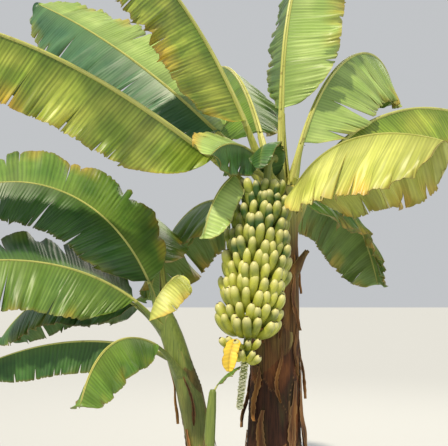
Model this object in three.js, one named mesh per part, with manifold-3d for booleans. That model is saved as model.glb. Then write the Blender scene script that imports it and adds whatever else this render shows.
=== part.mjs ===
// Banana plant with a hanging bunch, a leafy follower and a young shoot, all from one root.
// Millimetres, +Z up. The origin is the centre of the flat ground cut under the pseudostem.
// +X is to the right and -Y is the side where the bunch hangs.

import * as THREE from "three";
import Module from "manifold-3d";

const wasm = await Module();
wasm.setup();

// Clearance between pieces that touch
const GAP = 0.4;
const GROWTH_MARGIN = 1.1;

// Stems as rows of [height, x, y, radius], from the flared ground cut to the neck
const PSEUDOSTEM_ROWS = [
  [0, 0, 0, 190],
  [70, 1, 0, 174],
  [180, 4, 0, 162],
  [600, 14, 0, 145],
  [1300, 32, 0, 118],
  [1700, 45, 0, 96],
  [1900, 52, 0, 85],
  [2000, 55, 0, 78],
];
const FOLLOWER_ROWS = [
  [0, -285, -45, 105],
  [90, -290, -45, 94],
  [300, -305, -45, 85],
  [620, -353, -45, 72],
  [960, -425, -45, 66],
  [1230, -515, -45, 55],
  [1360, -560, -45, 45],
];
const SHOOT_ROWS = [
  [0, -345, -205, 46],
  [120, -340, -205, 41],
  [520, -326, -204, 35],
  [860, -305, -202, 27],
  [960, -297, -201, 20],
];
const PSEUDOSTEM_SIDES = 16;
const FOLLOWER_SIDES = 12;
const SHOOT_SIDES = 8;
const STEM_RIDGE = 0.012;

// Leaf rule: sizes shared by every leaf
const MIDRIB_STEPS = 96;
const BASE_ROUNDING = 0.22;
const TIP_ROUNDING = 0.55;
const MARGIN_SWEEP = 0.2;
const BLADE_STRIPS = 8;
const FOLD_REACH = 90;
const LOBE_HANG_SPREAD = 0.32;
const LOBE_STRIDES = [17, 3, 5];
const THICKNESS_RATIO = 0.0102;
const SPLIT_SHARE = 0.6;
const PETIOLE_CORNERS = [15, 50, 90, 130, 165, 195, 235, 270, 305, 345];
const PETIOLE_STATIONS = [0, 0.4, 0.85];
const PETIOLE_DEPTH = 0.8;
const FOOT_RIB = 1.1;
const BLADE_RIB = 0.8;
const TIP_RIB = 0.35;
const KEEL_DEPTH = 1.3;
const KEEL_LEAST = 3;
const RIB_CREST = 1;
const NARROWEST = 10;
const MOST_HANG = 0.95;
const BLADE_START = [0.012, 0.06];
const TIP_STATIONS = [0.45, 0.78, 0.985];
const TEAR_SPAN = [0.04, 0.98];
const TEAR_WANDER = 0.3;
const SHALLOW_TEAR = 0.35;
const DEEPEST_TEAR = 0.9;
const CUT_DEPTH = 0.95;
const LEAF_STRIDE = 31;
const TEAR_STRIDE = 7;
const TEAR_GAP = 11;
const SPLIT_MOUTH = 17;
const SPLIT_GAP = 0.9;

// Leaves of the pseudostem. foot: height, sector and ring place the foot in the neck; heading, turn,
// rise, droop and bend steer the midrib in degrees; fold and hang set each half of the blade,
// left and right as seen along the heading; torn is how deep the tears go.
const CROWN_LEAVES = [
  { name: "left_front_leaf", height: 1890, sector: 212, ring: 60, heading: -140, turn: -42, rise: 31,
    droop: -12, bend: 3.0, length: 2300, petiole: 0.19, width: 312, rib: 21, fold: [97, 35],
    hang: [0.35, 0.3], tears: 5, torn: 0.45, seed: 1 },
  { name: "right_front_leaf", height: 1880, sector: 312, ring: 64, heading: -72, turn: 18, rise: 50,
    droop: -21, bend: 0.7, length: 1250, petiole: 0.1, width: 360, rib: 18, fold: [60, 52],
    hang: [0.5, 0.3], tears: 5, torn: 0.45, seed: 2 },
  { name: "right_rising_leaf", height: 1980, sector: 0, ring: 50, heading: 26, turn: 40, rise: 75,
    droop: -60, bend: 1.8, length: 1750, petiole: 0.15, width: 345, rib: 20, fold: [40, 62],
    hang: [0.5, 0.7], tears: 5, torn: 0.9, seed: 3 },
  { name: "upright_leaf", height: 1980, sector: 70, ring: 50, heading: 52, turn: 3, rise: 92,
    droop: 18, bend: 2.0, length: 2000, petiole: 0.22, width: 308, rib: 20, fold: [40, 34],
    hang: [0.3, 0.12], tears: 5, torn: 0.5, seed: 4 },
  { name: "left_rising_leaf", height: 1980, sector: 196, ring: 50, heading: -155, turn: 36, rise: 67,
    droop: -15, bend: 1.7, length: 2100, petiole: 0.18, width: 365, rib: 20, fold: [82, -12],
    hang: [0.3, 0.1], tears: 5, torn: 0.4, seed: 5 },
  { name: "left_back_leaf", height: 1980, sector: 148, ring: 50, heading: 166, turn: -32, rise: 51,
    droop: 25, bend: 0.9, length: 2200, petiole: 0.2, width: 315, rib: 20, fold: [64, -30],
    hang: [0.5, 0.2], tears: 5, torn: 0.7, seed: 6 },
  { name: "back_leaf", height: 1930, sector: 114, ring: 58, heading: 110, turn: -8, rise: 66,
    droop: -30, bend: 1.5, length: 2150, petiole: 0.21, width: 350, rib: 20, fold: [58, 30],
    hang: [0.4, 0.4], tears: 5, torn: 0.7, seed: 7 },
  { name: "right_arching_leaf", height: 1800, sector: 20, ring: 84, heading: 30, turn: -14, rise: 69,
    droop: -62, bend: 1.1, length: 2300, petiole: 0.17, width: 350, rib: 21, fold: [25, 60],
    hang: [0.5, 0.6], tears: 5, torn: 0.8, seed: 8 },
  { name: "back_right_low_leaf", height: 1730, sector: 66, ring: 84, heading: 66, turn: -10, rise: 54,
    droop: -66, bend: 0.9, length: 1950, petiole: 0.17, width: 340, rib: 20, fold: [45, 45],
    hang: [0.6, 0.6], tears: 5, torn: 0.9, seed: 9 },
  { name: "back_left_low_leaf", height: 1700, sector: 122, ring: 84, heading: 118, turn: 4, rise: 50,
    droop: -68, bend: 0.9, length: 1900, petiole: 0.17, width: 340, rib: 20, fold: [45, 45],
    hang: [0.6, 0.6], tears: 5, torn: 0.9, seed: 10 },
  { name: "flag_leaf", height: 1990, sector: 240, ring: 50, heading: -132, turn: 20, rise: 61,
    droop: -36, bend: 0.8, length: 720, petiole: 0.25, width: 160, rib: 12, fold: [76, -28],
    hang: [0.8, 0.1], tears: 2, torn: 0.5, seed: 11, whole: true },
  { name: "hanging_leaf", height: 1975, sector: 226, ring: 58, heading: -136, turn: 8, rise: 88,
    droop: -80, bend: 0.47, length: 740, petiole: 0.46, width: 120, rib: 10, fold: [30, 40],
    hang: [0.4, 0.5], tears: 2, torn: 0.3, seed: 20, whole: true },
];

// Leaves of the follower, by the same rule
const FOLLOWER_LEAVES = [
  { name: "follower_rising_leaf", height: 1335, sector: 165, ring: 24, heading: 178, turn: 4, rise: 73,
    droop: -35, bend: 1.3, length: 1500, petiole: 0.11, width: 270, rib: 14, fold: [58, -45],
    hang: [0.4, 0.1], tears: 3, torn: 0.5, seed: 12 },
  { name: "follower_left_leaf", height: 1250, sector: 200, ring: 40, heading: -163, turn: 0, rise: 57,
    droop: -28, bend: 0.75, length: 1500, petiole: 0.14, width: 270, rib: 14, fold: [64, -30],
    hang: [0.5, 0.1], tears: 3, torn: 0.6, seed: 13 },
  { name: "follower_back_leaf", height: 1335, sector: 80, ring: 24, heading: 104, turn: 6, rise: 68,
    droop: -45, bend: 1.3, length: 1500, petiole: 0.2, width: 260, rib: 14, fold: [30, 30],
    hang: [0.4, 0.4], tears: 3, torn: 0.6, seed: 14 },
  { name: "follower_back_left_leaf", height: 1190, sector: 130, ring: 42, heading: 146, turn: 6, rise: 48,
    droop: -52, bend: 1.0, length: 1400, petiole: 0.2, width: 250, rib: 13, fold: [45, 45],
    hang: [0.5, 0.5], tears: 3, torn: 0.7, seed: 15 },
  { name: "follower_low_left_leaf", height: 1110, sector: 190, ring: 46, heading: -168, turn: -6, rise: 24,
    droop: -26, bend: 0.9, length: 980, petiole: 0.2, width: 170, rib: 11, fold: [70, 40],
    hang: [0.4, 0.4], tears: 3, torn: 0.4, seed: 16, whole: true },
  { name: "follower_front_leaf", height: 1010, sector: 245, ring: 50, heading: -133, turn: 36, rise: 64,
    droop: -54, bend: 0.8, length: 1050, petiole: 0.25, width: 172, rib: 12, fold: [50, 60],
    hang: [0.4, 0.4], tears: 3, torn: 0.4, seed: 17, whole: true },
  { name: "follower_folded_leaf", height: 1345, sector: 315, ring: 20, heading: -30, turn: -140, rise: 76,
    droop: -84, bend: 1.0, length: 660, petiole: 0.46, width: 120, rib: 9, fold: [30, 40],
    hang: [0.5, 0.6], tears: 2, torn: 0.3, seed: 18, whole: true },
];

const SHOOT_LEAVES = [
  { name: "shoot_leaf", height: 945, sector: 0, ring: 2, heading: -8, turn: 0, rise: 66,
    droop: 20, bend: 1.0, length: 200, petiole: 0.2, width: 46, rib: 6, fold: [40, 40],
    hang: [0.2, 0.2], tears: 1, torn: 0.2, seed: 19, whole: true },
];

// Bunch: the stalk's route out of the neck, and the line that carries the hands
const HAND_LINE_TOP = new THREE.Vector3(-47, -263, 1841);
const HAND_LINE_END = new THREE.Vector3(-136, -327, 1149);
const handLine = (share) => HAND_LINE_TOP.clone().lerp(HAND_LINE_END, share);
const STALK_ROUTE = [
  new THREE.Vector3(55, 0, 1990),
  new THREE.Vector3(50, -22, 2070),
  new THREE.Vector3(18, -110, 2134),
  new THREE.Vector3(-18, -205, 2090),
  ...[-0.22, -0.12, 0, 0.5, 1, 1.2, 1.38].map(handLine),
];
const STALK_ACROSS = new THREE.Vector3(0.95, -0.31, 0);
const STALK_STEPS = 26;
const STALK_SIDES = 8;
const STALK_NECK_R = 26;
const STALK_HAND_R = 19;
const STALK_END_R = 12;
const STALK_SCAR = 1.22;
const STALK_SCAR_START = 30;
const STALK_NECK_TAPER = 4.4;
const STALK_TAIL = 230;
const STALK_TAIL_R = 16;

// Hands: each is an arc of two staggered rows of fingers, in degrees from the bunch's front
const HAND_ARCS = [[-72, 48], [-96, 72], [-120, 96], [-96, 96], [-120, 96], [-96, 72], [-48, 24]];
const FINGER_ANGLE = 24;
const BUNCH_FACING = -98;
const FINGER_LENGTHS = [155, 180, 190, 190, 184, 172, 132];
const FINGER_STATIONS = [[0, 9], [0.4, 18], [0.76, 19], [1, 8]];
const FINGER_SIDES = 5;
const FINGER_TURN = 0.25;
const FINGER_STEPS = 50;
const FINGER_RISE_START = [16, 0, -8, -8, -8, -10, -14];
const FINGER_RISE_END = [96, 94, 92, 90, 86, 74, 46];
const FINGER_BEND = 1.15;
const ROW_PITCH = 57.5;
const CUSHION_R = 37;
const CUSHION_HEIGHT = 84;
const CUSHION_STEP = 36;
const CUSHION_SHOULDER = 0.38;
const CUSHION_CLEARANCE = 1.2;
const CUSHION_OVERHANG = 0.4;
const FINGER_SINK = 9;
const FINGER_LENGTH_RANGE = [0.96, 1.04];

const COLOURS = {
  pseudostem: 0x6b4a34,
  follower: 0x6f7f3f,
  leaf: 0x6f9a3a,
  stalk: 0xb9bd86,
  hand: 0x8fae4a,
};

const DOWN = new THREE.Vector3(0, 0, -1);
const radians = THREE.MathUtils.degToRad;
const mix = THREE.MathUtils.lerp;

// Seeded number from 0 to 1
function seeded(seed) {
  const value = Math.sin(seed * 12.9898) * 43758.5453;
  return value - Math.floor(value);
}

// Closed mesh through rings of equal count. A flat ring is capped by a fan, a leaf's ring by a strip.
function loft(rings, cap) {
  const count = rings[0].length;
  const last = (rings.length - 1) * count;
  const index = [];
  for (let ring = 0; ring < rings.length - 1; ring++) {
    for (let k = 0; k < count; k++) {
      const a = ring * count + k;
      const b = ring * count + ((k + 1) % count);
      index.push(a, b, b + count, a, b + count, a + count);
    }
  }
  for (const [start, flipped] of [[0, true], [last, false]]) {
    for (const [a, b, c] of cap(count)) {
      index.push(start + a, start + (flipped ? c : b), start + (flipped ? b : c));
    }
  }
  const geometry = new THREE.BufferGeometry();
  const flat = rings.flat().flatMap((point) => point.toArray());
  geometry.setAttribute("position", new THREE.Float32BufferAttribute(flat, 3));
  geometry.setIndex(index);
  return facingOut(geometry);
}

function fanCap(count) {
  return Array.from({ length: count - 2 }, (_, k) => [0, k + 1, k + 2]);
}

// Triangles across a thin ring whose first half is its top and second half its underside
function stripCap(count) {
  const triangles = [];
  for (let k = 0; k < count / 2 - 1; k++) {
    const under = count - 1 - k;
    triangles.push([k, k + 1, under], [k + 1, under - 1, under]);
  }
  return triangles;
}

function facingOut(geometry) {
  const position = geometry.getAttribute("position");
  const index = geometry.getIndex().array;
  const [a, b, c] = [new THREE.Vector3(), new THREE.Vector3(), new THREE.Vector3()];
  let volume = 0;
  for (let k = 0; k < index.length; k += 3) {
    a.fromBufferAttribute(position, index[k]);
    b.fromBufferAttribute(position, index[k + 1]);
    c.fromBufferAttribute(position, index[k + 2]);
    volume += a.dot(b.cross(c));
  }
  if (volume < 0) {
    for (let k = 0; k < index.length; k += 3) {
      [index[k + 1], index[k + 2]] = [index[k + 2], index[k + 1]];
    }
  }
  return geometry;
}

function toSolid(geometry) {
  const vertProperties = new Float32Array(geometry.getAttribute("position").array);
  const triVerts = new Uint32Array(geometry.getIndex().array);
  return new wasm.Manifold(new wasm.Mesh({ numProp: 3, vertProperties, triVerts }));
}

// Geometry of a solid's largest piece, without the scraps that a cut leaves
function toGeometry(solid) {
  const pieces = solid.decompose();
  pieces.sort((first, second) => second.volume() - first.volume());
  const mesh = pieces[0].getMesh();
  const geometry = new THREE.BufferGeometry();
  geometry.setAttribute("position", new THREE.Float32BufferAttribute(mesh.vertProperties, 3));
  geometry.setIndex(Array.from(mesh.triVerts));
  return geometry;
}

// Centre of a stem at a height
function stemCentre(rows, height) {
  let k = 1;
  while (k < rows.length - 1 && rows[k][0] < height) {
    k++;
  }
  const [low, high] = [rows[k - 1], rows[k]];
  const share = (height - low[0]) / (high[0] - low[0]);
  return new THREE.Vector3(mix(low[1], high[1], share), mix(low[2], high[2], share), height);
}

// Stem from its ground cut to its neck. A grown stem is the tool that keeps petioles clear of it.
function stemGeometry(rows, sides, growth = 0) {
  const rings = rows.map(([height, x, y, radius], k) => {
    const z = height + (k === rows.length - 1 ? growth : 0);
    return Array.from({ length: sides }, (_, side) => {
      const angle = (2 * Math.PI * side) / sides;
      const reach = radius * (1 + (side % 2 ? STEM_RIDGE : -STEM_RIDGE)) + growth * GROWTH_MARGIN;
      return new THREE.Vector3(x + reach * Math.cos(angle), y + reach * Math.sin(angle), z);
    });
  });
  return loft(rings, fanCap);
}

function midribDirection(leaf, share) {
  const heading = radians(leaf.heading + leaf.turn * share);
  const climb = radians(leaf.rise + (leaf.droop - leaf.rise) * share ** leaf.bend);
  return new THREE.Vector3(
    Math.cos(climb) * Math.cos(heading),
    Math.cos(climb) * Math.sin(heading),
    Math.sin(climb),
  );
}

// Points along the midrib, found by adding up its direction in small steps
function midribPoints(leaf, foot) {
  const points = [foot.clone()];
  for (let k = 0; k < MIDRIB_STEPS; k++) {
    const step = midribDirection(leaf, (k + 0.5) / MIDRIB_STEPS);
    points.push(points[k].clone().addScaledVector(step, leaf.length / MIDRIB_STEPS));
  }
  return points;
}

function frameAt(leaf, points, share) {
  const place = share * MIDRIB_STEPS;
  const k = Math.min(Math.floor(place), MIDRIB_STEPS - 1);
  const along = midribDirection(leaf, share);
  const heading = radians(leaf.heading + leaf.turn * share);
  const left = new THREE.Vector3(-Math.sin(heading), Math.cos(heading), 0);
  const above = new THREE.Vector3().crossVectors(along, left);
  return { at: points[k].clone().lerp(points[k + 1], place - k), along, left, above };
}

// Half width of the blade at a share of its length from 0 at the petiole to 1 at the tip
function halfWidth(leaf, share) {
  const base = share < BASE_ROUNDING ? Math.sqrt(1 - (1 - share / BASE_ROUNDING) ** 2) : 1;
  const past = Math.max(0, (share - TIP_ROUNDING) / (1 - TIP_ROUNDING));
  return leaf.width * base * Math.sqrt(1 - past * past);
}

// Tears from the margin towards the rib; the middle one is cut to the rib and parts a split leaf
function tearsOf(leaf) {
  const middle = Math.floor(leaf.tears / 2);
  return Array.from({ length: leaf.tears }, (_, k) => {
    const pick = leaf.seed * LEAF_STRIDE + k * TEAR_STRIDE;
    const cut = k === middle && !leaf.whole;
    const wander = cut ? 0 : (seeded(pick) - 0.5) * TEAR_WANDER;
    const share = mix(...TEAR_SPAN, (k + 1 + wander) / (leaf.tears + 1));
    const depth = [1, 2].map((side) => {
      return cut ? CUT_DEPTH : Math.min(DEEPEST_TEAR, leaf.torn * (SHALLOW_TEAR + seeded(pick + side)));
    });
    return { share, depth, cut };
  });
}

// Outer edge and half-way point of one half of the blade, with the face's upward normal at each.
// The margins hang down square to the rib, so that neighbouring lobes don't pass through each other.
function bladePoints(leaf, frame, side, width, extraHang) {
  const ease = Math.min(1, width / FOLD_REACH);
  const fold = radians(leaf.fold[side]) * ease;
  const toSide = side === 0 ? 1 : -1;
  const across = frame.left.clone().multiplyScalar(toSide * Math.cos(fold));
  across.addScaledVector(frame.above, -Math.sin(fold));
  const sag = DOWN.clone().addScaledVector(frame.along, -DOWN.dot(frame.along));
  const point = frame.at.clone();
  const found = [];
  for (let strip = 0; strip < BLADE_STRIPS; strip++) {
    const share = (strip + 0.5) / BLADE_STRIPS;
    const hang = Math.min(MOST_HANG, Math.max(0, leaf.hang[side] + extraHang)) * share * ease;
    const way = across.clone().multiplyScalar(1 - hang * sag.length()).addScaledVector(sag, hang);
    way.addScaledVector(frame.along, MARGIN_SWEEP).normalize();
    point.addScaledVector(way, width / BLADE_STRIPS);
    if ((strip + 1) % (BLADE_STRIPS / 2) === 0) {
      const normal = new THREE.Vector3().crossVectors(frame.along, way).multiplyScalar(toSide);
      found.push({ point: point.clone(), normal: normal.normalize() });
    }
  }
  return found;
}

// Ring round the blade: its upper face from left margin to right margin, then its underside back
function bladeRing(leaf, frame, widths, extraHang, rib) {
  const half = (leaf.length * THICKNESS_RATIO * (leaf.whole ? 1 : SPLIT_SHARE)) / 2;
  const left = bladePoints(leaf, frame, 0, widths[0], extraHang[0]);
  const right = bladePoints(leaf, frame, 1, widths[1], extraHang[1]);
  const offset = ({ point, normal }, amount) => point.clone().addScaledVector(normal, amount);
  const ribTop = frame.at.clone().addScaledVector(frame.above, half + RIB_CREST);
  const keel = frame.at.clone().addScaledVector(frame.above, -Math.max(half + KEEL_LEAST, rib * KEEL_DEPTH));
  return [
    offset(left[1], half), offset(left[0], half), ribTop, offset(right[0], half), offset(right[1], half),
    offset(right[1], -half), offset(right[0], -half), keel, offset(left[0], -half), offset(left[1], -half),
  ];
}

// Ring round the petiole, with the same count and order as the blade's
function petioleRing(frame, radius) {
  return PETIOLE_CORNERS.map((angle) => {
    const point = frame.at.clone().addScaledVector(frame.left, radius * Math.cos(radians(angle)));
    return point.addScaledVector(frame.above, PETIOLE_DEPTH * radius * Math.sin(radians(angle)));
  });
}

// Stations along the blade: three at each tear, and more where the two ends round off
function bladeStations(leaf) {
  const tears = tearsOf(leaf);
  const bladeLength = leaf.length * (1 - leaf.petiole);
  const [start, shoulder] = BLADE_START;
  const stations = [{ share: start }, { share: shoulder }, { share: mix(shoulder, tears[0].share, 0.5) }];
  tears.forEach((tear, k) => {
    const open = (tear.cut ? SPLIT_MOUTH : TEAR_GAP) / bladeLength;
    stations.push({ share: tear.share - open, lobe: k });
    if (tear.cut) {
      const half = SPLIT_GAP / 2 / bladeLength;
      stations.push({ share: tear.share - half, lobe: k, tear, ends: true });
      stations.push({ share: tear.share + half, lobe: k + 1, tear });
    } else {
      stations.push({ share: tear.share, lobe: k + 0.5, tear });
    }
    stations.push({ share: tear.share + open, lobe: k + 1 });
  });
  const lastTear = tears[tears.length - 1].share;
  for (const part of TIP_STATIONS) {
    stations.push({ share: mix(lastTear, 1, part), lobe: tears.length });
  }
  return stations;
}

// Extra hang of the lobe that a station is in. A station on a tear takes the mean of both lobes.
function lobeHang(leaf, lobe = 0) {
  const [perLeaf, perLobe, perSide] = LOBE_STRIDES;
  return [0, 1].map((side) => {
    const pick = (k) => seeded(leaf.seed * perLeaf + k * perLobe + side * perSide) - 0.5;
    return ((pick(Math.floor(lobe)) + pick(Math.ceil(lobe))) / 2) * LOBE_HANG_SPREAD * leaf.torn;
  });
}

// Leaf as a list of closed lofts: one for a whole leaf, two for a leaf split at its bend
function leafGeometries(leaf, foot) {
  const points = midribPoints(leaf, foot);
  const parts = [[]];
  for (const share of PETIOLE_STATIONS) {
    const frame = frameAt(leaf, points, share * leaf.petiole);
    parts[0].push(petioleRing(frame, leaf.rib * mix(FOOT_RIB, BLADE_RIB, share)));
  }
  for (const { share, lobe, tear, ends } of bladeStations(leaf)) {
    const frame = frameAt(leaf, points, mix(leaf.petiole, 1, share));
    const depth = tear ? tear.depth : [0, 0];
    const widths = depth.map((cut) => Math.max(NARROWEST, halfWidth(leaf, share) * (1 - cut)));
    const rib = leaf.rib * mix(BLADE_RIB, TIP_RIB, share);
    parts[parts.length - 1].push(bladeRing(leaf, frame, widths, lobeHang(leaf, lobe), rib));
    if (ends) {
      parts.push([]);
    }
  }
  return parts.map((rings) => loft(rings, stripCap));
}

function namedMesh(name, geometry, colour, roughness, origin) {
  geometry.translate(-origin.x, -origin.y, -origin.z);
  const material = new THREE.MeshStandardMaterial({ color: colour, roughness, metalness: 0 });
  const mesh = new THREE.Mesh(geometry, material);
  mesh.name = name;
  mesh.position.copy(origin);
  return mesh;
}

// Leaves of one stem, each petiole cut back to clear the stem's surface
function leavesOf(leaves, rows, sides) {
  const group = new THREE.Group();
  const tool = toSolid(stemGeometry(rows, sides, GAP));
  for (const leaf of leaves) {
    const angle = radians(leaf.sector);
    const foot = stemCentre(rows, leaf.height);
    foot.x += leaf.ring * Math.cos(angle);
    foot.y += leaf.ring * Math.sin(angle);
    const parts = leafGeometries(leaf, foot);
    const endings = parts.length === 1 ? [""] : ["_inner", "_outer"];
    parts.forEach((geometry, k) => {
      const cut = k === 0 ? toGeometry(toSolid(geometry).subtract(tool)) : geometry;
      group.add(namedMesh(leaf.name + endings[k], cut, COLOURS.leaf, 0.55, foot));
    });
  }
  return group;
}

// Stalk radius along its route: thick at the neck, slimmer through the hands, slim at the end
function stalkRadius(z, share) {
  if (z > HAND_LINE_TOP.z) {
    return mix(STALK_NECK_R, STALK_HAND_R, Math.min(1, share * STALK_NECK_TAPER));
  }
  if (z > HAND_LINE_END.z) {
    return STALK_HAND_R;
  }
  return mix(STALK_TAIL_R, STALK_END_R, (HAND_LINE_END.z - z) / STALK_TAIL);
}

// Stalk from the neck over to the hands, and on to the bare end with its ringed scars
function stalkGeometry() {
  const curve = new THREE.CatmullRomCurve3(STALK_ROUTE);
  const rings = [];
  for (let k = 0; k <= STALK_STEPS; k++) {
    const share = k / STALK_STEPS;
    const centre = curve.getPointAt(share);
    const along = curve.getTangentAt(share);
    const side = STALK_ACROSS.clone().cross(along).normalize();
    const other = new THREE.Vector3().crossVectors(along, side);
    const scar = centre.z < HAND_LINE_END.z - STALK_SCAR_START && k % 2 ? STALK_SCAR : 1;
    const radius = stalkRadius(centre.z, share) * scar;
    rings.push(Array.from({ length: STALK_SIDES }, (_, corner) => {
      const angle = (2 * Math.PI * corner) / STALK_SIDES;
      const point = centre.clone().addScaledVector(side, radius * Math.cos(angle));
      return point.addScaledVector(other, radius * Math.sin(angle));
    }));
  }
  return loft(rings, fanCap);
}

// Axes at the hands: up the stalk, straight out towards the bunch's front, and across
function handFrame() {
  const up = new THREE.Vector3().subVectors(HAND_LINE_TOP, HAND_LINE_END).normalize();
  const facing = radians(BUNCH_FACING);
  const out = new THREE.Vector3(Math.cos(facing), Math.sin(facing), 0);
  out.addScaledVector(up, -out.dot(up)).normalize();
  return { up, out, across: new THREE.Vector3().crossVectors(up, out) };
}

function outward(frame, angle) {
  const way = frame.out.clone().multiplyScalar(Math.cos(radians(angle)));
  return way.addScaledVector(frame.across, Math.sin(radians(angle)));
}

// Cushion that joins a hand's fingers: part of a thick ring round the stalk, clear of it
function cushionGeometry(frame, centre, fromAngle, toAngle) {
  const inner = STALK_HAND_R + CUSHION_CLEARANCE;
  const steps = Math.ceil((toAngle - fromAngle) / CUSHION_STEP);
  const rings = [];
  for (let k = 0; k <= steps; k++) {
    const way = outward(frame, mix(fromAngle, toAngle, k / steps));
    const corner = (radius, height) => {
      return centre.clone().addScaledVector(way, radius).addScaledVector(frame.up, height);
    };
    rings.push([
      corner(inner, -CUSHION_HEIGHT / 2),
      corner(CUSHION_R, -CUSHION_HEIGHT * CUSHION_SHOULDER),
      corner(CUSHION_R, CUSHION_HEIGHT * CUSHION_SHOULDER),
      corner(inner, CUSHION_HEIGHT / 2),
    ]);
  }
  return loft(rings, fanCap);
}

// Finger that leaves the cushion level and curves up, thick in the middle, with a blunt tip
function fingerGeometry(frame, root, angle, length, hand) {
  const way = outward(frame, angle);
  const sideways = new THREE.Vector3().crossVectors(frame.up, way);
  const riseAt = (share) => {
    return radians(mix(FINGER_RISE_START[hand], FINGER_RISE_END[hand], share ** FINGER_BEND));
  };
  const centre = root.clone();
  const rings = [];
  let step = 0;
  for (const [share, radius] of FINGER_STATIONS) {
    for (; step < Math.round(share * FINGER_STEPS); step++) {
      const rise = riseAt((step + 0.5) / FINGER_STEPS);
      centre.addScaledVector(way, (Math.cos(rise) * length) / FINGER_STEPS);
      centre.addScaledVector(frame.up, (Math.sin(rise) * length) / FINGER_STEPS);
    }
    const rise = riseAt(share);
    const above = frame.up.clone().multiplyScalar(Math.cos(rise)).addScaledVector(way, -Math.sin(rise));
    rings.push(Array.from({ length: FINGER_SIDES }, (_, k) => {
      const turn = (2 * Math.PI * (k + FINGER_TURN)) / FINGER_SIDES;
      const corner = centre.clone().addScaledVector(sideways, radius * Math.cos(turn));
      return corner.addScaledVector(above, radius * Math.sin(turn));
    }));
  }
  return loft(rings, fanCap);
}

// One hand: a cushion and two staggered rows of fingers, joined in one body
function handGeometry(frame, hand) {
  const centre = handLine(hand / (HAND_ARCS.length - 1));
  const [from, to] = HAND_ARCS[hand];
  const edge = FINGER_ANGLE * CUSHION_OVERHANG;
  const solids = [toSolid(cushionGeometry(frame, centre, from - edge, to + FINGER_ANGLE / 2 + edge))];
  for (const row of [0, 1]) {
    for (let angle = from; angle <= to; angle += FINGER_ANGLE) {
      const turned = angle + (row * FINGER_ANGLE) / 2;
      const root = centre.clone().addScaledVector(outward(frame, turned), CUSHION_R - FINGER_SINK);
      root.addScaledVector(frame.up, (0.5 - row) * ROW_PITCH);
      const size = mix(...FINGER_LENGTH_RANGE, seeded(hand * 90 + row * 40 + angle));
      solids.push(toSolid(fingerGeometry(frame, root, turned, FINGER_LENGTHS[hand] * size, hand)));
    }
  }
  return toGeometry(wasm.Manifold.union(solids));
}

function bunch() {
  const group = new THREE.Group();
  const tool = toSolid(stemGeometry(PSEUDOSTEM_ROWS, PSEUDOSTEM_SIDES, GAP));
  const stalk = toGeometry(toSolid(stalkGeometry()).subtract(tool));
  group.add(namedMesh("bunch_stalk", stalk, COLOURS.stalk, 0.6, HAND_LINE_TOP));
  const frame = handFrame();
  HAND_ARCS.forEach((_, hand) => {
    const centre = handLine(hand / (HAND_ARCS.length - 1));
    group.add(namedMesh(`hand_${hand + 1}`, handGeometry(frame, hand), COLOURS.hand, 0.45, centre));
  });
  return group;
}

function stems() {
  const group = new THREE.Group();
  const foot = (rows) => stemCentre(rows, 0);
  const pseudostem = stemGeometry(PSEUDOSTEM_ROWS, PSEUDOSTEM_SIDES);
  group.add(namedMesh("pseudostem", pseudostem, COLOURS.pseudostem, 0.85, foot(PSEUDOSTEM_ROWS)));
  const trunkTool = toSolid(stemGeometry(PSEUDOSTEM_ROWS, PSEUDOSTEM_SIDES, GAP));
  const follower = toSolid(stemGeometry(FOLLOWER_ROWS, FOLLOWER_SIDES)).subtract(trunkTool);
  group.add(namedMesh("follower_stem", toGeometry(follower), COLOURS.follower, 0.6, foot(FOLLOWER_ROWS)));
  const followerTool = toSolid(stemGeometry(FOLLOWER_ROWS, FOLLOWER_SIDES, GAP));
  const shoot = toSolid(stemGeometry(SHOOT_ROWS, SHOOT_SIDES)).subtract(followerTool);
  group.add(namedMesh("shoot_stem", toGeometry(shoot), COLOURS.follower, 0.6, foot(SHOOT_ROWS)));
  return group;
}

const plant = new THREE.Group();
plant.add(stems());
plant.add(leavesOf(CROWN_LEAVES, PSEUDOSTEM_ROWS, PSEUDOSTEM_SIDES));
plant.add(leavesOf(FOLLOWER_LEAVES, FOLLOWER_ROWS, FOLLOWER_SIDES));
plant.add(leavesOf(SHOOT_LEAVES, SHOOT_ROWS, SHOOT_SIDES));
plant.add(bunch());

export default plant;
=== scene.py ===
"""Looks of a fruiting banana plant: sheathed stems, torn leaves, a hanging bunch and a follower."""

import logging
import math
from dataclasses import dataclass, field
from enum import Enum
from functools import partial
from typing import Any, Callable, ClassVar, Sequence

import bpy
import numpy as np
from mathutils import Matrix, Vector


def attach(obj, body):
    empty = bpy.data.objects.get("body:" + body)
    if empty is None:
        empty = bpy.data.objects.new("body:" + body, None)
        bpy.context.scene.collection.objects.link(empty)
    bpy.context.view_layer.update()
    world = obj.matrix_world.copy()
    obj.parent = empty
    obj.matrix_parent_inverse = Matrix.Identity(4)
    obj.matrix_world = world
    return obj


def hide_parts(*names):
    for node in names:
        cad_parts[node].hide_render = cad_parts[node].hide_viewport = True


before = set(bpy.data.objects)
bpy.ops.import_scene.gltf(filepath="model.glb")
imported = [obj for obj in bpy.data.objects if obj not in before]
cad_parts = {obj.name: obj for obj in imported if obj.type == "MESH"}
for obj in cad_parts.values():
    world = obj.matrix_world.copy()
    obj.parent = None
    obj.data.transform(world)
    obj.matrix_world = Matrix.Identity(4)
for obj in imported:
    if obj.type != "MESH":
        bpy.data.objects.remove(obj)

log = logging.getLogger("banana_plant")
Array = np.ndarray
Socket = bpy.types.NodeSocket
Adder = Callable[..., Socket]

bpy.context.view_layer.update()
BODY = "root"
MM = 0.001
GOLDEN_ANGLE = 137.508
DOWN = np.array([0.0, 0.0, -1.0])
NODE_PREFIXES = ("ShaderNode", "GeometryNode", "FunctionNode", "Node")
SHARP_EDGE = math.radians(50.0)


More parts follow.
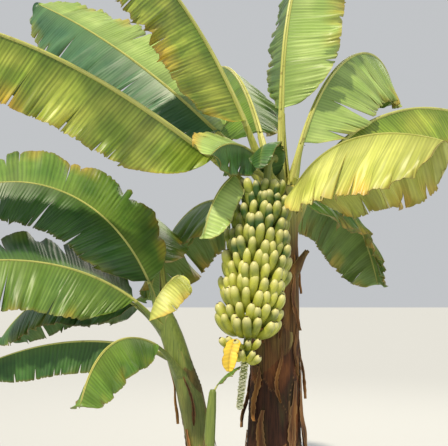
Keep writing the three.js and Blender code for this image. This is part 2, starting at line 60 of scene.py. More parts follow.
def seeded(seed: Any) -> Any:
    """Returns a seeded number from 0 to 1 for each seed, the same each run.

    The numbers that callers work into a seed only keep their draws apart.
    """
    value = np.sin(np.asarray(seed, dtype=float) * 12.9898) * 43758.5453
    return value - np.floor(value)


def mix(start: Any, end: Any, share: Any) -> Any:
    """Returns the value a share of the way from start to end."""
    return start + (end - start) * share


def eased(value: Any, low: Any = 0.0, high: Any = 1.0) -> Any:
    """Returns 0 below low, 1 above high and a smooth rise between them."""
    share = np.clip((value - low) / (high - low), 0.0, 1.0)
    return share * share * (3.0 - 2.0 * share)


def unit(rows: Array) -> Array:
    """Returns each row vector at length 1."""
    return rows / np.maximum(np.linalg.norm(rows, axis=-1, keepdims=True), 1e-12)


def level_way(angle: Any) -> Array:
    """Returns level unit vectors at angles in radians."""
    return np.stack([np.cos(angle), np.sin(angle), np.zeros_like(angle)], axis=-1)


def linear(colour: str) -> tuple[float, float, float, float]:
    """Turns an sRGB hex value such as "8fae4a" into linear RGBA.

    Args:
        colour: six hex digits.

    Returns:
        Red, green, blue and an alpha of 1, for a shader's socket.
    """
    channels = [int(colour[k:k + 2], 16) / 255.0 for k in (0, 2, 4)]
    curved = [c / 12.92 if c <= 0.04045 else ((c + 0.055) / 1.055) ** 2.4 for c in channels]
    return (curved[0], curved[1], curved[2], 1.0)


def add_node(
    tree: bpy.types.NodeTree,
    kind: str,
    given: dict[Any, Any] | None = None,
    output: str | None = None,
) -> Socket | None:
    """Adds one node to a tree, with its settings and what feeds it.

    Args:
        tree: shader or geometry tree.
        kind: Blender's name of the node, without its prefix.
        given: value, socket or list of sockets, by property name or by input name or number.
        output: name of the wanted output, where it isn't the first one in use.

    Returns:
        The wanted output, or None for a node that has no output.
    """
    names = (start + kind for start in NODE_PREFIXES)
    node = tree.nodes.new(next(name for name in names if hasattr(bpy.types, name)))
    for key, value in (given or {}).items():
        feeds = value if isinstance(value, list) else [value]
        if isinstance(key, str) and hasattr(node, key):
            setattr(node, key, value)
        elif isinstance(feeds[0], Socket):
            for feed in feeds:
                tree.links.new(feed, node.inputs[key])
        else:
            node.inputs[key].default_value = value
    if output:
        return node.outputs[output]
    return next((socket for socket in node.outputs if socket.enabled), None)


def new_tree(name: str, inputs: dict[str, str]) -> tuple[bpy.types.NodeTree, Any]:
    """Starts a Geometry Nodes tree that gives out one geometry.

    Args:
        name: name of the tree.
        inputs: kind of each named input: Geometry, Float, Int or Material.

    Returns:
        The tree and the sockets of its inputs by name.
    """
    tree = bpy.data.node_groups.new(name, "GeometryNodeTree")
    tree.interface.new_socket("Geometry", in_out="OUTPUT", socket_type="NodeSocketGeometry")
    for label, kind in inputs.items():
        tree.interface.new_socket(label, in_out="INPUT", socket_type=f"NodeSocket{kind}")
    return tree, tree.nodes.new("NodeGroupInput").outputs


def run_tree(
    name: str,
    tree: bpy.types.NodeTree,
    inputs: dict[str, Any],
    source: bpy.types.Object | None = None,
) -> bpy.types.Object:
    """Runs a Geometry Nodes tree on a mesh and keeps the result as a plain mesh.

    Args:
        name: name of the piece.
        tree: the Geometry Nodes tree.
        inputs: value of each named input of the tree.
        source: object whose mesh the tree starts from, or None.

    Returns:
        The piece, with no modifier on it.
    """
    piece = source or Skin().to_object(name)
    modifier = piece.modifiers.new(tree.name, "NODES")
    modifier.node_group = tree
    for item in tree.interface.items_tree:
        if item.in_out == "INPUT" and item.name in inputs:
            modifier[item.identifier] = inputs[item.name]
    graph = bpy.context.evaluated_depsgraph_get()
    mesh = bpy.data.meshes.new_from_object(
        piece.evaluated_get(graph), preserve_all_data_layers=True, depsgraph=graph)
    piece.modifiers.remove(modifier)
    start, piece.data = piece.data, mesh
    bpy.data.meshes.remove(start)
    mesh.name = name
    return piece


def finish_piece(piece: bpy.types.Object, slot: str, *nodes: str) -> None:
    """Lets a piece ride on the plant and stand for its nodes.

    Args:
        piece: the finished piece.
        slot: the frame's slot that its finish belongs to; not used.
        nodes: the frame's nodes that it stands for.
    """
    piece.data.set_sharp_from_angle(angle=SHARP_EDGE)
    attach(piece, BODY)
    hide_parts(*nodes)
    triangles = sum(len(face.vertices) - 2 for face in piece.data.polygons)
    log.info("%s: %d triangles, stands for %s", piece.name, triangles, ", ".join(nodes))


def thick_sheet(points: Array, ways: Array, quads: Array, thickness: float) -> tuple[Array, Array]:
    """Gives an open sheet its thickness and closes it with a rim.

    Args:
        points: the sheet's points.
        ways: way out of its front at each point.
        quads: its faces, as seen from the front.
        thickness: distance between its two sides.

    Returns:
        The points of both sides, and the faces of the front, the back and the rim in that order.
    """
    count = len(points)
    both = np.vstack([points + ways * (thickness / 2.0), points - ways * (thickness / 2.0)])
    start, end = quads.ravel(), np.roll(quads, -1, axis=1).ravel()
    open_edge = ~np.isin(start.astype(np.int64) * count + end, end.astype(np.int64) * count + start)
    a, b = start[open_edge], end[open_edge]
    rim = np.stack([b, a, a + count, b + count], axis=-1)
    return both, np.vstack([quads, quads[:, ::-1] + count, rim])


@dataclass
class Skin:
    """A mesh under construction: its points, its faces and what is stored on them."""

    points: list[Array] = field(default_factory=list)
    faces: list[list[int]] = field(default_factory=list)
    zones: list[int] = field(default_factory=list)
    values: dict[str, list[Array]] = field(default_factory=dict)
    count: int = 0

    def add(self, points: Array, faces: list[list[int]], values: dict[str, Array],
            zones: Any = 0) -> None:
        """Adds a patch of mesh.

        Args:
            points: its points in millimetres.
            faces: corners of each face, counted within the patch.
            values: what is stored on each point, by name.
            zones: zone number of each face, or one for all.
        """
        self.points.append(points)
        self.faces.extend([corner + self.count for corner in face] for face in faces)
        self.zones.extend(np.broadcast_to(zones, len(faces)).tolist())
        for name, value in values.items():
            self.values.setdefault(name, []).append(np.asarray(value, dtype=float))
        self.count += len(points)

    def add_sheet(self, points: Array, ways: Array, thickness: float, values: dict[str, Any]) -> None:
        """Adds an open sheet with its thickness.

        Args:
            points: its points by column and row.
            ways: way out of its front at each point.
            thickness: distance between its two sides.
            values: what is stored on the points, by name.
        """
        columns, rows = points.shape[:2]
        index = np.arange(columns * rows).reshape(columns, rows)
        quads = np.stack([index[:-1, :-1], index[1:, :-1], index[1:, 1:], index[:-1, 1:]], axis=-1)
        both, faces = thick_sheet(points.reshape(-1, 3), ways.reshape(-1, 3), quads.reshape(-1, 4),
                                  thickness)
        stored = {name: np.tile(np.broadcast_to(value, (columns, rows)).reshape(-1), 2)
                  for name, value in values.items()}
        self.add(both, faces.tolist(), stored)

    def add_tube(self, rings: Array, ends: Sequence[Array], values: dict[str, Any],
                 zone: int = 0) -> None:
        """Adds a tube, closed with a fan at each end.

        Args:
            rings: its points by ring and place round it, anticlockwise as seen from its last end.
            ends: centre of its first and of its last ring.
            values: what is stored on the points, by name.
            zone: zone number of its faces.
        """
        count, sides = rings.shape[:2]
        index = np.arange(count * sides).reshape(count, sides)
        turned = np.roll(index, -1, axis=1)
        walls = np.stack([index[:-1], turned[:-1], turned[1:], index[1:]], axis=-1)
        faces = walls.reshape(-1, 4).tolist()
        first, last = count * sides, count * sides + 1
        faces += [[first, b, a] for a, b in zip(index[0].tolist(), turned[0].tolist())]
        faces += [[last, a, b] for a, b in zip(index[-1].tolist(), turned[-1].tolist())]
        stored = {}
        for name, value in values.items():
            flat = np.broadcast_to(value, (count, sides) + np.shape(value)[2:])
            flat = flat.reshape((count * sides,) + flat.shape[2:])
            stored[name] = np.concatenate([flat, flat[[0, -1]]])
        self.add(np.vstack([rings.reshape(-1, 3), *ends]), faces, stored, zone)

    def to_object(self, name: str, finish: "Finish | None" = None) -> bpy.types.Object:
        """Makes the mesh object.

        Args:
            name: name of the object.
            finish: its finish, where it has one all over.

        Returns:
            The object, with what was stored on its points and faces.
        """
        mesh = bpy.data.meshes.new(name)
        if self.points:
            mesh.from_pydata((np.vstack(self.points) * MM).tolist(), [], self.faces)
        for key, parts in self.values.items():
            stored = np.concatenate(parts)
            kind, part = ("FLOAT_VECTOR", "vector") if stored.ndim == 2 else ("FLOAT", "value")
            mesh.attributes.new(key, kind, "POINT").data.foreach_set(part, stored.ravel())
        mesh.attributes.new("zone", "INT", "FACE").data.foreach_set("value", self.zones)
        mesh.shade_smooth()
        if finish:
            mesh.materials.append(finish.material())
        made = bpy.data.objects.new(name, mesh)
        bpy.context.scene.collection.objects.link(made)
        return made


class Tone(Enum):
    """Colour of one half of a blade, named by how sun and age have left it, save for a lit and a shaded
    copy of the green, which are painted sunlight and painted shade.
    """

    GREEN = "green"
    # Painted sunlight: a lighter, lit copy of the green for a half that stands in the sun
    SUNNED = "sunned"
    PALE = "pale"
    YELLOWED = "yellowed"
    # Painted shade: a darker copy of the green for a half that stands in shade
    DEEP = "deep"
    BLUE = "blue"
    WITHERED = "withered"


class Zone(Enum):
    """Which finish a face of a leaf takes."""

    UPPER_LEFT = 0
    UPPER_RIGHT = 1
    UNDER_LEFT = 2
    UNDER_RIGHT = 3
    MARGIN = 4
    RIB = 5


@dataclass(frozen=True)
class Finish:
    """A finish of the plant, made into a material once and then shared by the pieces that have it."""

    name: str

    def material(self) -> bpy.types.Material:
        """Returns the finish as a material, made on its first use."""
        made = bpy.data.materials.get(self.name)
        if made is None:
            made = bpy.data.materials.new(self.name)
            made.use_nodes = True
            made.node_tree.nodes.clear()
            add = partial(add_node, made.node_tree)
            add("OutputMaterial", {"Surface": self.shader(add)})
        return made

    def shader(self, add: Adder) -> Socket:
        """Builds the finish's nodes.

        Args:
            add: adds one node to the finish's tree.

        Returns:
            The shader.
        """
        raise NotImplementedError


@dataclass(frozen=True)
class BladeFinish(Finish):
    """Face of a living banana leaf: a waxy pleated blade, smooth to the touch.

    Gives the eye a satin sheen broken by fine lateral veins that run out from the rib, with a
    paler band at the rib, painted patches of sunlight and shade, and a thin dry brown edge.
    """

    main: str
    near_rib: str
    accent: str
    edge: str
    roughness: float
    vein_strength: float
    burnt: str = "d2a437"

    def shader(self, add: Adder) -> Socket:
        """Builds the blade's sunning, veins and dry edge.

        Args:
            add: adds one node to the finish's tree.

        Returns:
            The shader.
        """
        across, wear, lobe = (add("Attribute", {"attribute_name": name}, "Fac")
                              for name in ("across", "wear", "lobe"))
        flat = add("Attribute", {"attribute_name": "flat"}, "Vector")
        # Painted patches of sunlight and shade about 180 mm wide, mixed into the blade's colour
        sun_and_shade_patches = add("TexNoise", {"Scale": 5.5, "Detail": 3.0, "Vector": add("TexCoord", {}, "Object")})
        spread = add("MapRange", {"From Min": 0.38, "From Max": 0.66, "Value": sun_and_shade_patches})
        body = add("Mix", {"data_type": "RGBA", 0: spread, 6: linear(self.main), 7: linear(self.accent)})
        rib_reach = add("MapRange", {"From Max": 0.34, "To Min": 0.75, "To Max": 0.0, "Value": across})
        ribbed = add("Mix", {"data_type": "RGBA", 0: rib_reach, 6: body, 7: linear(self.near_rib)})
        # Sunburnt yellow patches along the margin, about 200 mm long
        burn_place = add("VectorMath", {"operation": "MULTIPLY", 0: flat, 1: (5.0, 2.2, 1.0)})
        burns = add("TexNoise", {"Scale": 1.0, "Detail": 4.0, "Vector": burn_place})
        burn_share = add("MapRange", {"From Min": 0.5, "From Max": 0.68, "To Max": 0.75, "Value": burns})
        outer = add("MapRange", {"From Min": 0.6, "From Max": 1.0, "Value": across})
        burn_level = add("Math", {"operation": "MULTIPLY", 0: burn_share, 1: outer})
        burned = add("Mix", {"data_type": "RGBA", 0: burn_level, 6: ribbed, 7: linear(self.burnt)})
        # Lateral veins: broad ones every 20 mm on the pleats, and streaks of a few millimetres
        pleats = add("TexWave", {"bands_direction": "X", "Scale": 15.7, "Distortion": 2.4, "Detail": 2.0,
                                 "Detail Scale": 0.5, "Vector": flat}, "Fac")
        squeezed = add("VectorMath", {"operation": "MULTIPLY", 0: flat, 1: (150.0, 3.0, 1.0)})
        streaks = add("TexNoise", {"Scale": 1.0, "Detail": 2.0, "Vector": squeezed})
        broad = add("Math", {"operation": "MULTIPLY_ADD", 0: pleats, 1: 0.36, 2: 0.06})
        veins = add("Math", {"operation": "MULTIPLY_ADD", 0: streaks, 1: 0.9, 2: broad})
        tinted = add("MapRange", {"From Min": 0.4, "From Max": 0.95, "To Min": 1.0 - self.vein_strength,
                                  "To Max": 1.0 + self.vein_strength, "Value": veins})
        per_lobe = add("MapRange", {"To Min": 0.76, "To Max": 1.14, "Value": lobe})
        level = add("Math", {"operation": "MULTIPLY", 0: tinted, 1: per_lobe})
        shaded = add("HueSaturation", {"Value": level, "Color": burned})
        worn = add("Mix", {"data_type": "RGBA", 0: wear, 6: shaded, 7: linear(self.edge)})
        bump = add("Bump", {"Strength": 0.5, "Distance": 0.0012, "Height": veins})
        gloss = add("MapRange", {"To Min": self.roughness - 0.07, "To Max": self.roughness + 0.1,
                                 "Value": sun_and_shade_patches})
        return add("BsdfPrincipled", {"IOR": 1.45, "Base Color": worn, "Roughness": gloss,
                                      "Normal": bump})


@dataclass(frozen=True)
class StalkFinish(Finish):
    """Thick living stalk tissue: petioles, midribs and the bunch's stalk, ribbed along their length.

    Gives the eye a pale yellow-green satin surface with fine darker lines along it and a few
    brown flecks where it has been rubbed.
    """

    main: str
    streak: str
    fleck: str
    roughness: float

    def shader(self, add: Adder) -> Socket:
        """Builds the stalk's lines and flecks.

        Args:
            add: adds one node to the finish's tree.

        Returns:
            The shader.
        """
        flat = add("Attribute", {"attribute_name": "flat"}, "Vector")
        # Lines about 4 mm apart and 200 mm long, and flecks of 40 mm
        drawn = add("VectorMath", {"operation": "MULTIPLY", 0: flat, 1: (5.0, 260.0, 1.0)})
        lines = add("TexNoise", {"Scale": 1.0, "Detail": 2.0, "Vector": drawn})
        blotch = add("TexNoise", {"Scale": 26.0, "Detail": 4.0, "Vector": add("TexCoord", {}, "Object")})
        line_share = add("MapRange", {"From Min": 0.4, "From Max": 0.68, "Value": lines})
        fleck_share = add("MapRange", {"From Min": 0.6, "From Max": 0.74, "To Max": 0.7, "Value": blotch})
        lined = add("Mix", {"data_type": "RGBA", 0: line_share, 6: linear(self.main),
                            7: linear(self.streak)})
        flecked = add("Mix", {"data_type": "RGBA", 0: fleck_share, 6: lined, 7: linear(self.fleck)})
        bump = add("Bump", {"Strength": 0.4, "Distance": 0.001, "Height": lines})
        return add("BsdfPrincipled", {"IOR": 1.42, "Roughness": self.roughness, "Base Color": flecked,
                                      "Normal": bump})


@dataclass(frozen=True)
class SheathFinish(Finish):
    """Leaf sheaths wrapped round a stem: dry and fibrous outside, green and smooth at the neck.

    Gives the eye upright fibres and streaks from green through tan to dark red-brown, papery
    pale edges, and a roughness that rises where the sheath is dry.
    """

    fresh: str
    fresh_streak: str
    dry: str
    dry_streak: str
    tan: str
    papery: str

    def shader(self, add: Adder) -> Socket:
        """Builds the sheath's fibres, stains and papery edges.

        Args:
            add: adds one node to the finish's tree.

        Returns:
            The shader.
        """
        place = add("TexCoord", {}, "Object")
        dryness, tint, edge = (add("Attribute", {"attribute_name": name}, "Fac")
                               for name in ("dry", "tint", "edge"))
        # Fibres about 6 mm wide and 200 mm long, and stains 55 mm wide and 250 mm long
        drawn = add("Mapping", {"Scale": (150.0, 150.0, 5.0), "Vector": place})
        fibres = add("TexNoise", {"Scale": 1.0, "Detail": 4.0, "Roughness": 0.6, "Vector": drawn})
        stretched = add("Mapping", {"Scale": (18.0, 18.0, 4.0), "Vector": place})
        stains = add("TexNoise", {"Scale": 1.0, "Detail": 5.0, "Vector": stretched})
        fibre_share = add("MapRange", {"From Min": 0.36, "From Max": 0.66, "Value": fibres})
        stain_share = add("MapRange", {"From Min": 0.46, "From Max": 0.64, "Value": stains})
        fresh, dry = (
            add("Mix", {"data_type": "RGBA", 0: fibre_share, 6: linear(main), 7: linear(streak)})
            for main, streak in ((self.fresh, self.fresh_streak), (self.dry, self.dry_streak)))
        tan_share = add("Math", {"operation": "MULTIPLY", 0: stain_share, 1: tint})
        tanned = add("Mix", {"data_type": "RGBA", 0: tan_share, 6: dry, 7: linear(self.tan)})
        shifted = add("Math", {"operation": "MULTIPLY_ADD", 0: stains, 1: 0.7, 2: -0.35})
        dry_level = add("Math", {"operation": "ADD", "use_clamp": True, 0: dryness, 1: shifted})
        body = add("Mix", {"data_type": "RGBA", 0: dry_level, 6: fresh, 7: tanned})
        edged = add("Mix", {"data_type": "RGBA", 0: edge, 6: body, 7: linear(self.papery)})
        height = add("Math", {"operation": "MULTIPLY_ADD", 0: fibres, 1: 0.6, 2: stains})
        bump = add("Bump", {"Strength": 0.7, "Distance": 0.003, "Height": height})
        rough = add("MapRange", {"To Min": 0.42, "To Max": 0.86, "Value": dry_level})
        return add("BsdfPrincipled", {"IOR": 1.45, "Base Color": edged, "Roughness": rough,
                                      "Normal": bump})


@dataclass(frozen=True)
class FruitFinish(Finish):
    """Unripe fruit skin: smooth, waxy and faintly angular, with a dark dry scar at the tip.

    Gives the eye a soft sheen, a green body that pales towards the tip and is painted darker on upper
    hands as shade, freckles and rub marks.
    """

    skin: str
    shade: str
    tip: str
    scar: str

    def shader(self, add: Adder) -> Socket:
        """Builds the fruit's body, pale tip, freckles and scar.

        Args:
            add: adds one node to the finish's tree.

        Returns:
            The shader.
        """
        place = add("TexCoord", {}, "Object")
        along, pick = (add("Attribute", {"attribute_name": name}, "Fac") for name in ("along", "pick"))
        # Green varies over about 60 mm, and freckles are 2 to 3 mm across
        clouds = add("TexNoise", {"Scale": 16.0, "Detail": 2.0, "Vector": place})
        freckles = add("TexNoise", {"Scale": 240.0, "Detail": 2.0, "Vector": place})
        # Random clouds of green plus each finger's pick, which carries its hand's painted light and shade
        blend = add("Math", {"operation": "MULTIPLY_ADD", 0: pick, 1: 0.6, 2: clouds})
        share = add("MapRange", {"From Min": 0.52, "From Max": 1.08, "Value": blend})
        colour = add("Mix", {"data_type": "RGBA", 0: share, 6: linear(self.shade), 7: linear(self.skin)})
        for source, limits, over in (
            (along, {"From Min": 0.74, "From Max": 0.98, "To Max": 0.85,
                     "interpolation_type": "SMOOTHSTEP"}, self.tip),
            (freckles, {"From Min": 0.66, "From Max": 0.74, "To Max": 0.6}, self.scar),
            (along, {"From Min": 0.978, "From Max": 0.988}, self.scar),
        ):
            reach = add("MapRange", {**limits, "Value": source})
            colour = add("Mix", {"data_type": "RGBA", 0: reach, 6: colour, 7: linear(over)})
        bump = add("Bump", {"Strength": 0.25, "Distance": 0.001, "Height": clouds})
        return add("BsdfPrincipled", {"IOR": 1.45, "Roughness": 0.36, "Specular IOR Level": 0.45,
                                      "Base Color": colour, "Normal": bump})


# Main colour, near the rib, accent, dry edge, roughness and strength of the veins of each tone,
# on the upper face and on the duller underside; the sunlit and the shaded tone are painted light
UPPER_FINISHES: dict[Tone, BladeFinish] = {
    Tone.GREEN: BladeFinish("green_upper_blade", "507529", "6f8a38", "729239", "8f7a42", 0.38, 0.22),
    Tone.SUNNED: BladeFinish("sunned_upper_blade", "778f31", "4f6d26", "a6b148", "a5853c", 0.36, 0.30),
    Tone.PALE: BladeFinish("pale_upper_blade", "8fab57", "7a974b", "a6bd6c", "a08f50", 0.40, 0.18),
    Tone.YELLOWED: BladeFinish("yellowed_upper_blade", "b3bb58", "949f45", "ccd070", "8f7a3c", 0.40,
                               0.18),
    Tone.DEEP: BladeFinish("deep_upper_blade", "2f5526", "53702f", "426a2c", "7a6a36", 0.34, 0.20,
                           "7d8c3a"),
    Tone.BLUE: BladeFinish("blue_upper_blade", "416c4c", "5f8450", "567f56", "a39a48", 0.38, 0.17,
                           "a8a83e"),
    Tone.WITHERED: BladeFinish("withered_upper_bract", "d9b432", "b8962f", "e6cb4a", "8a6a2c", 0.50,
                               0.12),
}
UNDER_FINISHES: dict[Tone, BladeFinish] = {
    Tone.GREEN: BladeFinish("green_under_blade", "6f8d46", "829a50", "839f54", "8f7a42", 0.50, 0.13),
    Tone.SUNNED: BladeFinish("sunned_under_blade", "83973c", "617a30", "aab553", "a5853c", 0.48, 0.24),
    Tone.PALE: BladeFinish("pale_under_blade", "98b267", "86a15b", "adc27c", "a08f50", 0.50, 0.11),
    Tone.YELLOWED: BladeFinish("yellowed_under_blade", "bcc46a", "a1ab52", "d0d680", "8f7a3c", 0.50,
                               0.12),
    Tone.DEEP: BladeFinish("deep_under_blade", "466c34", "617e3f", "5b8040", "7a6a36", 0.48, 0.15,
                           "7d8c3a"),
    Tone.BLUE: BladeFinish("blue_under_blade", "547b58", "6d8e5b", "689066", "a39a48", 0.50, 0.13,
                           "a8a83e"),
    Tone.WITHERED: BladeFinish("withered_under_bract", "d2b34a", "b39a44", "dfc968", "8a6a2c", 0.55,
                               0.10),
}
RIB_FINISH = StalkFinish("waxy_midrib", "d0cf78", "9aa34c", "7d6a35", 0.38)
MARGIN_FINISH = StalkFinish("dry_leaf_margin", "a08a4a", "7a6434", "57421f", 0.7)
STALK_FINISH = StalkFinish("ridged_bunch_stalk", "8d9650", "6c7c3a", "5d5a30", 0.5)
SCAR_FINISH = StalkFinish("pale_flower_scars", "ecebcb", "cfd0a2", "a3925c", 0.6)
# Green and its streak, dry brown and its streak, tan stains and papery edges
TRUNK_FINISH, FOLLOWER_FINISH, THROAT_FINISH, STRIP_FINISH = (SheathFinish(*row) for row in (
    ("dry_red_brown_sheath", "878f4a", "66722f", "48291a", "24130b", "9a5f30", "a67c4e"),
    ("green_follower_sheath", "7f8f44", "5f7236", "6e5a38", "40311f", "94793f", "a8965c"),
    ("waxy_leaf_throat", "b9b955", "83923f", "6b4a2a", "3d2615", "a5793c", "c9bf74"),
    ("papery_dead_sheath", "8d7a48", "6d5a33", "74482a", "321c11", "b9803c", "c29a63"),
))
FRUIT_FINISH = FruitFinish("unripe_fruit_skin", "c0c44e", "375823", "dad596", "43331f")
CUSHION_FINISH = FruitFinish("bunch_crown_skin", "7a8c3c", "5a6f2c", "7a8c3c", "4a3a22")

# Tone of a leaf's left and right half, as seen along the leaf from its foot, where not both are green;
# a half given the sunlit or the shaded tone has sunlight or shade painted into its colour
TONES: dict[str, tuple[Tone, Tone]] = {
    "left_front_leaf": (Tone.SUNNED, Tone.DEEP),
    "right_front_leaf": (Tone.YELLOWED, Tone.YELLOWED),
    "right_rising_leaf": (Tone.GREEN, Tone.PALE),
    "upright_leaf": (Tone.GREEN, Tone.PALE),
    "left_rising_leaf": (Tone.SUNNED, Tone.SUNNED),
    "left_back_leaf": (Tone.BLUE, Tone.PALE),
    "right_arching_leaf": (Tone.SUNNED, Tone.SUNNED),
    "flag_leaf": (Tone.DEEP, Tone.PALE),
    "hanging_leaf": (Tone.PALE, Tone.PALE),
    "follower_rising_leaf": (Tone.DEEP, Tone.GREEN),
    "follower_left_leaf": (Tone.GREEN, Tone.DEEP),
    "follower_back_left_leaf": (Tone.DEEP, Tone.DEEP),
    "follower_low_left_leaf": (Tone.DEEP, Tone.DEEP),
    "follower_folded_leaf": (Tone.YELLOWED, Tone.YELLOWED),
    "stalk_bract": (Tone.DEEP, Tone.DEEP),
    "withered_bract": (Tone.WITHERED, Tone.WITHERED),
}


@dataclass(frozen=True)
class LeafForm:
    """One leaf's place and rule, in millimetres and degrees, as the frame's solids follow it."""

    name: str
    height: float
    sector: float
    ring: float
    heading: float
    turn: float
    rise: float
    droop: float
    bend: float
    length: float
    petiole: float
    width: float
    rib: float
    fold: tuple[float, float]
    hang: tuple[float, float]
    tears: int
    torn: float
    seed: int
    whole: bool = False

    def nodes(self) -> tuple[str, ...]:
        """Returns the frame's nodes that the leaf stands for."""
        return (self.name,) if self.whole else (f"{self.name}_inner", f"{self.name}_outer")


# Stems as rows of height, x, y and radius in millimetres, from the ground cut to the neck
PSEUDOSTEM_ROWS = np.array([
    [0, 0, 0, 190], [70, 1, 0, 174], [180, 4, 0, 162], [600, 14, 0, 145],
    [1300, 32, 0, 118], [1700, 45, 0, 96], [1900, 52, 0, 85], [2000, 55, 0, 78],
], dtype=float)
FOLLOWER_ROWS = np.array([
    [0, -285, -45, 105], [90, -290, -45, 94], [300, -305, -45, 85], [620, -353, -45, 72],
    [960, -425, -45, 66], [1230, -515, -45, 55], [1360, -560, -45, 45],
], dtype=float)
SHOOT_ROWS = np.array([
    [0, -345, -205, 46], [120, -340, -205, 41], [520, -326, -204, 35], [860, -305, -202, 27],
    [960, -297, -201, 20],
], dtype=float)
# Axis of the bunch as a stem's rows, for what grows from it
BUNCH_ROWS = np.array([[1000, -155, -341, 14], [1300, -117, -313, 16]], dtype=float)

# The leaves, with their numbers in the order of the form: the foot's height, sector and ring; the rib's
# heading, turn, rise, droop and bend; length, petiole, width and rib; fold and hang of the left and the
# right half; number of tears, how torn, seed, and whether one node holds the whole leaf
CROWN_LEAVES: tuple[LeafForm, ...] = (
    LeafForm("left_front_leaf", 1890, 212, 60, -140, -42, 31, -12, 3.0,
             2300, 0.19, 312, 21, (97, 35), (0.35, 0.3), 5, 0.45, 1),
    LeafForm("right_front_leaf", 1880, 312, 64, -72, 18, 50, -21, 0.7,
             1250, 0.1, 360, 18, (60, 52), (0.5, 0.3), 5, 0.45, 2),
    LeafForm("right_rising_leaf", 1980, 0, 50, 26, 40, 75, -60, 1.8,
             1750, 0.15, 345, 20, (40, 62), (0.5, 0.7), 5, 0.9, 3),
    LeafForm("upright_leaf", 1980, 70, 50, 52, 3, 92, 18, 2.0,
             2000, 0.22, 308, 20, (40, 34), (0.3, 0.12), 5, 0.5, 4),
    LeafForm("left_rising_leaf", 1980, 196, 50, -155, 36, 67, -15, 1.7,
             2100, 0.18, 365, 20, (82, -12), (0.3, 0.1), 5, 0.4, 5),
    LeafForm("left_back_leaf", 1980, 148, 50, 166, -32, 51, 25, 0.9,
             2200, 0.2, 315, 20, (64, -30), (0.5, 0.2), 5, 0.7, 6),
    LeafForm("back_leaf", 1930, 114, 58, 110, -8, 66, -30, 1.5,
             2150, 0.21, 350, 20, (58, 30), (0.4, 0.4), 5, 0.7, 7),
    LeafForm("right_arching_leaf", 1800, 20, 84, 30, -14, 69, -62, 1.1,
             2300, 0.17, 350, 21, (25, 60), (0.5, 0.6), 5, 0.8, 8),
    LeafForm("back_right_low_leaf", 1730, 66, 84, 66, -10, 54, -66, 0.9,
             1950, 0.17, 340, 20, (45, 45), (0.6, 0.6), 5, 0.9, 9),
    LeafForm("back_left_low_leaf", 1700, 122, 84, 118, 4, 50, -68, 0.9,
             1900, 0.17, 340, 20, (45, 45), (0.6, 0.6), 5, 0.9, 10),
    LeafForm("flag_leaf", 1990, 240, 50, -132, 20, 61, -36, 0.8,
             720, 0.25, 160, 12, (76, -28), (0.8, 0.1), 2, 0.5, 11, True),
    LeafForm("hanging_leaf", 1975, 226, 58, -136, 8, 88, -80, 0.47,
             740, 0.46, 120, 10, (30, 40), (0.4, 0.5), 2, 0.3, 20, True),
)
FOLLOWER_LEAVES: tuple[LeafForm, ...] = (
    LeafForm("follower_rising_leaf", 1335, 165, 24, 178, 4, 73, -35, 1.3,
             1500, 0.11, 270, 14, (58, -45), (0.4, 0.1), 3, 0.5, 12),
    LeafForm("follower_left_leaf", 1250, 200, 40, -163, 0, 57, -28, 0.75,
             1500, 0.14, 270, 14, (64, -30), (0.5, 0.1), 3, 0.6, 13),
    LeafForm("follower_back_leaf", 1335, 80, 24, 104, 6, 68, -45, 1.3,
             1500, 0.2, 260, 14, (30, 30), (0.4, 0.4), 3, 0.6, 14),
    LeafForm("follower_back_left_leaf", 1190, 130, 42, 146, 6, 48, -52, 1.0,
             1400, 0.2, 250, 13, (45, 45), (0.5, 0.5), 3, 0.7, 15),
    LeafForm("follower_low_left_leaf", 1110, 190, 46, -168, -6, 24, -26, 0.9,
             980, 0.2, 170, 11, (70, 40), (0.4, 0.4), 3, 0.4, 16, True),
    LeafForm("follower_front_leaf", 1010, 245, 50, -133, 36, 64, -54, 0.8,
             1050, 0.25, 172, 12, (50, 60), (0.4, 0.4), 3, 0.4, 17, True),
    LeafForm("follower_folded_leaf", 1345, 315, 20, -30, -140, 76, -84, 1.0,
             660, 0.46, 120, 9, (30, 40), (0.5, 0.6), 2, 0.3, 18, True),
)
SHOOT_LEAVES: tuple[LeafForm, ...] = (
    LeafForm("shoot_leaf", 945, 0, 2, -8, 0, 66, 20, 1.0,
             200, 0.2, 46, 6, (40, 40), (0.2, 0.2), 1, 0.2, 19, True),
)

# Stubs of petioles whose blades were cut off: height, sector, ring, rise, length and seed
OLD_PETIOLES: tuple[LeafForm, ...] = tuple(
    LeafForm("old_petiole", height, sector, ring, sector, 0.0, rise, rise - 20.0, 1.0, length, 1.0, 0.0,
             19.0, (0.0, 0.0), (0.0, 0.0), 0, 0.0, seed, True)
    for height, sector, ring, rise, length, seed in (
        (1540.0, -24.0, 84.0, 66.0, 150.0, 31), (1890.0, -48.0, 62.0, 76.0, 165.0, 32),
        (1690.0, 118.0, 74.0, 64.0, 170.0, 33), (1380.0, 214.0, 92.0, 68.0, 140.0, 34),
        (1240.0, 58.0, 100.0, 62.0, 150.0, 35),
    ))
# Leaf-like bract beside the stalk's arch, and a withered one before the last hand
STALK_BRACT = LeafForm("stalk_bract", 1985, 225, 60, -102, 0, 80, -75, 1.1,
                       560, 0.1, 84, 7, (-20, 35), (0.4, 0.4), 2, 0.25, 43, True)
WITHERED_BRACT = LeafForm("withered_bract", 1225, 240, 112, 248, 0, 12, -88, 0.5,
                          190, 0.05, 38, 3.5, (12, 12), (0.2, 0.2), 1, 0.2, 44, True)


def stem_at(rows: Array, height: Any) -> tuple[Array, Array, Array]:
    """Returns x, y and radius of a stem at heights."""
    x, y, radius = (np.interp(height, rows[:, 0], rows[:, k]) for k in (1, 2, 3))
    return x, y, radius


@dataclass
class RibFrame:
    """Places along a midrib, with the ways along it, to its left and up from it."""

    at: Array
    along: Array
    left: Array
    above: Array


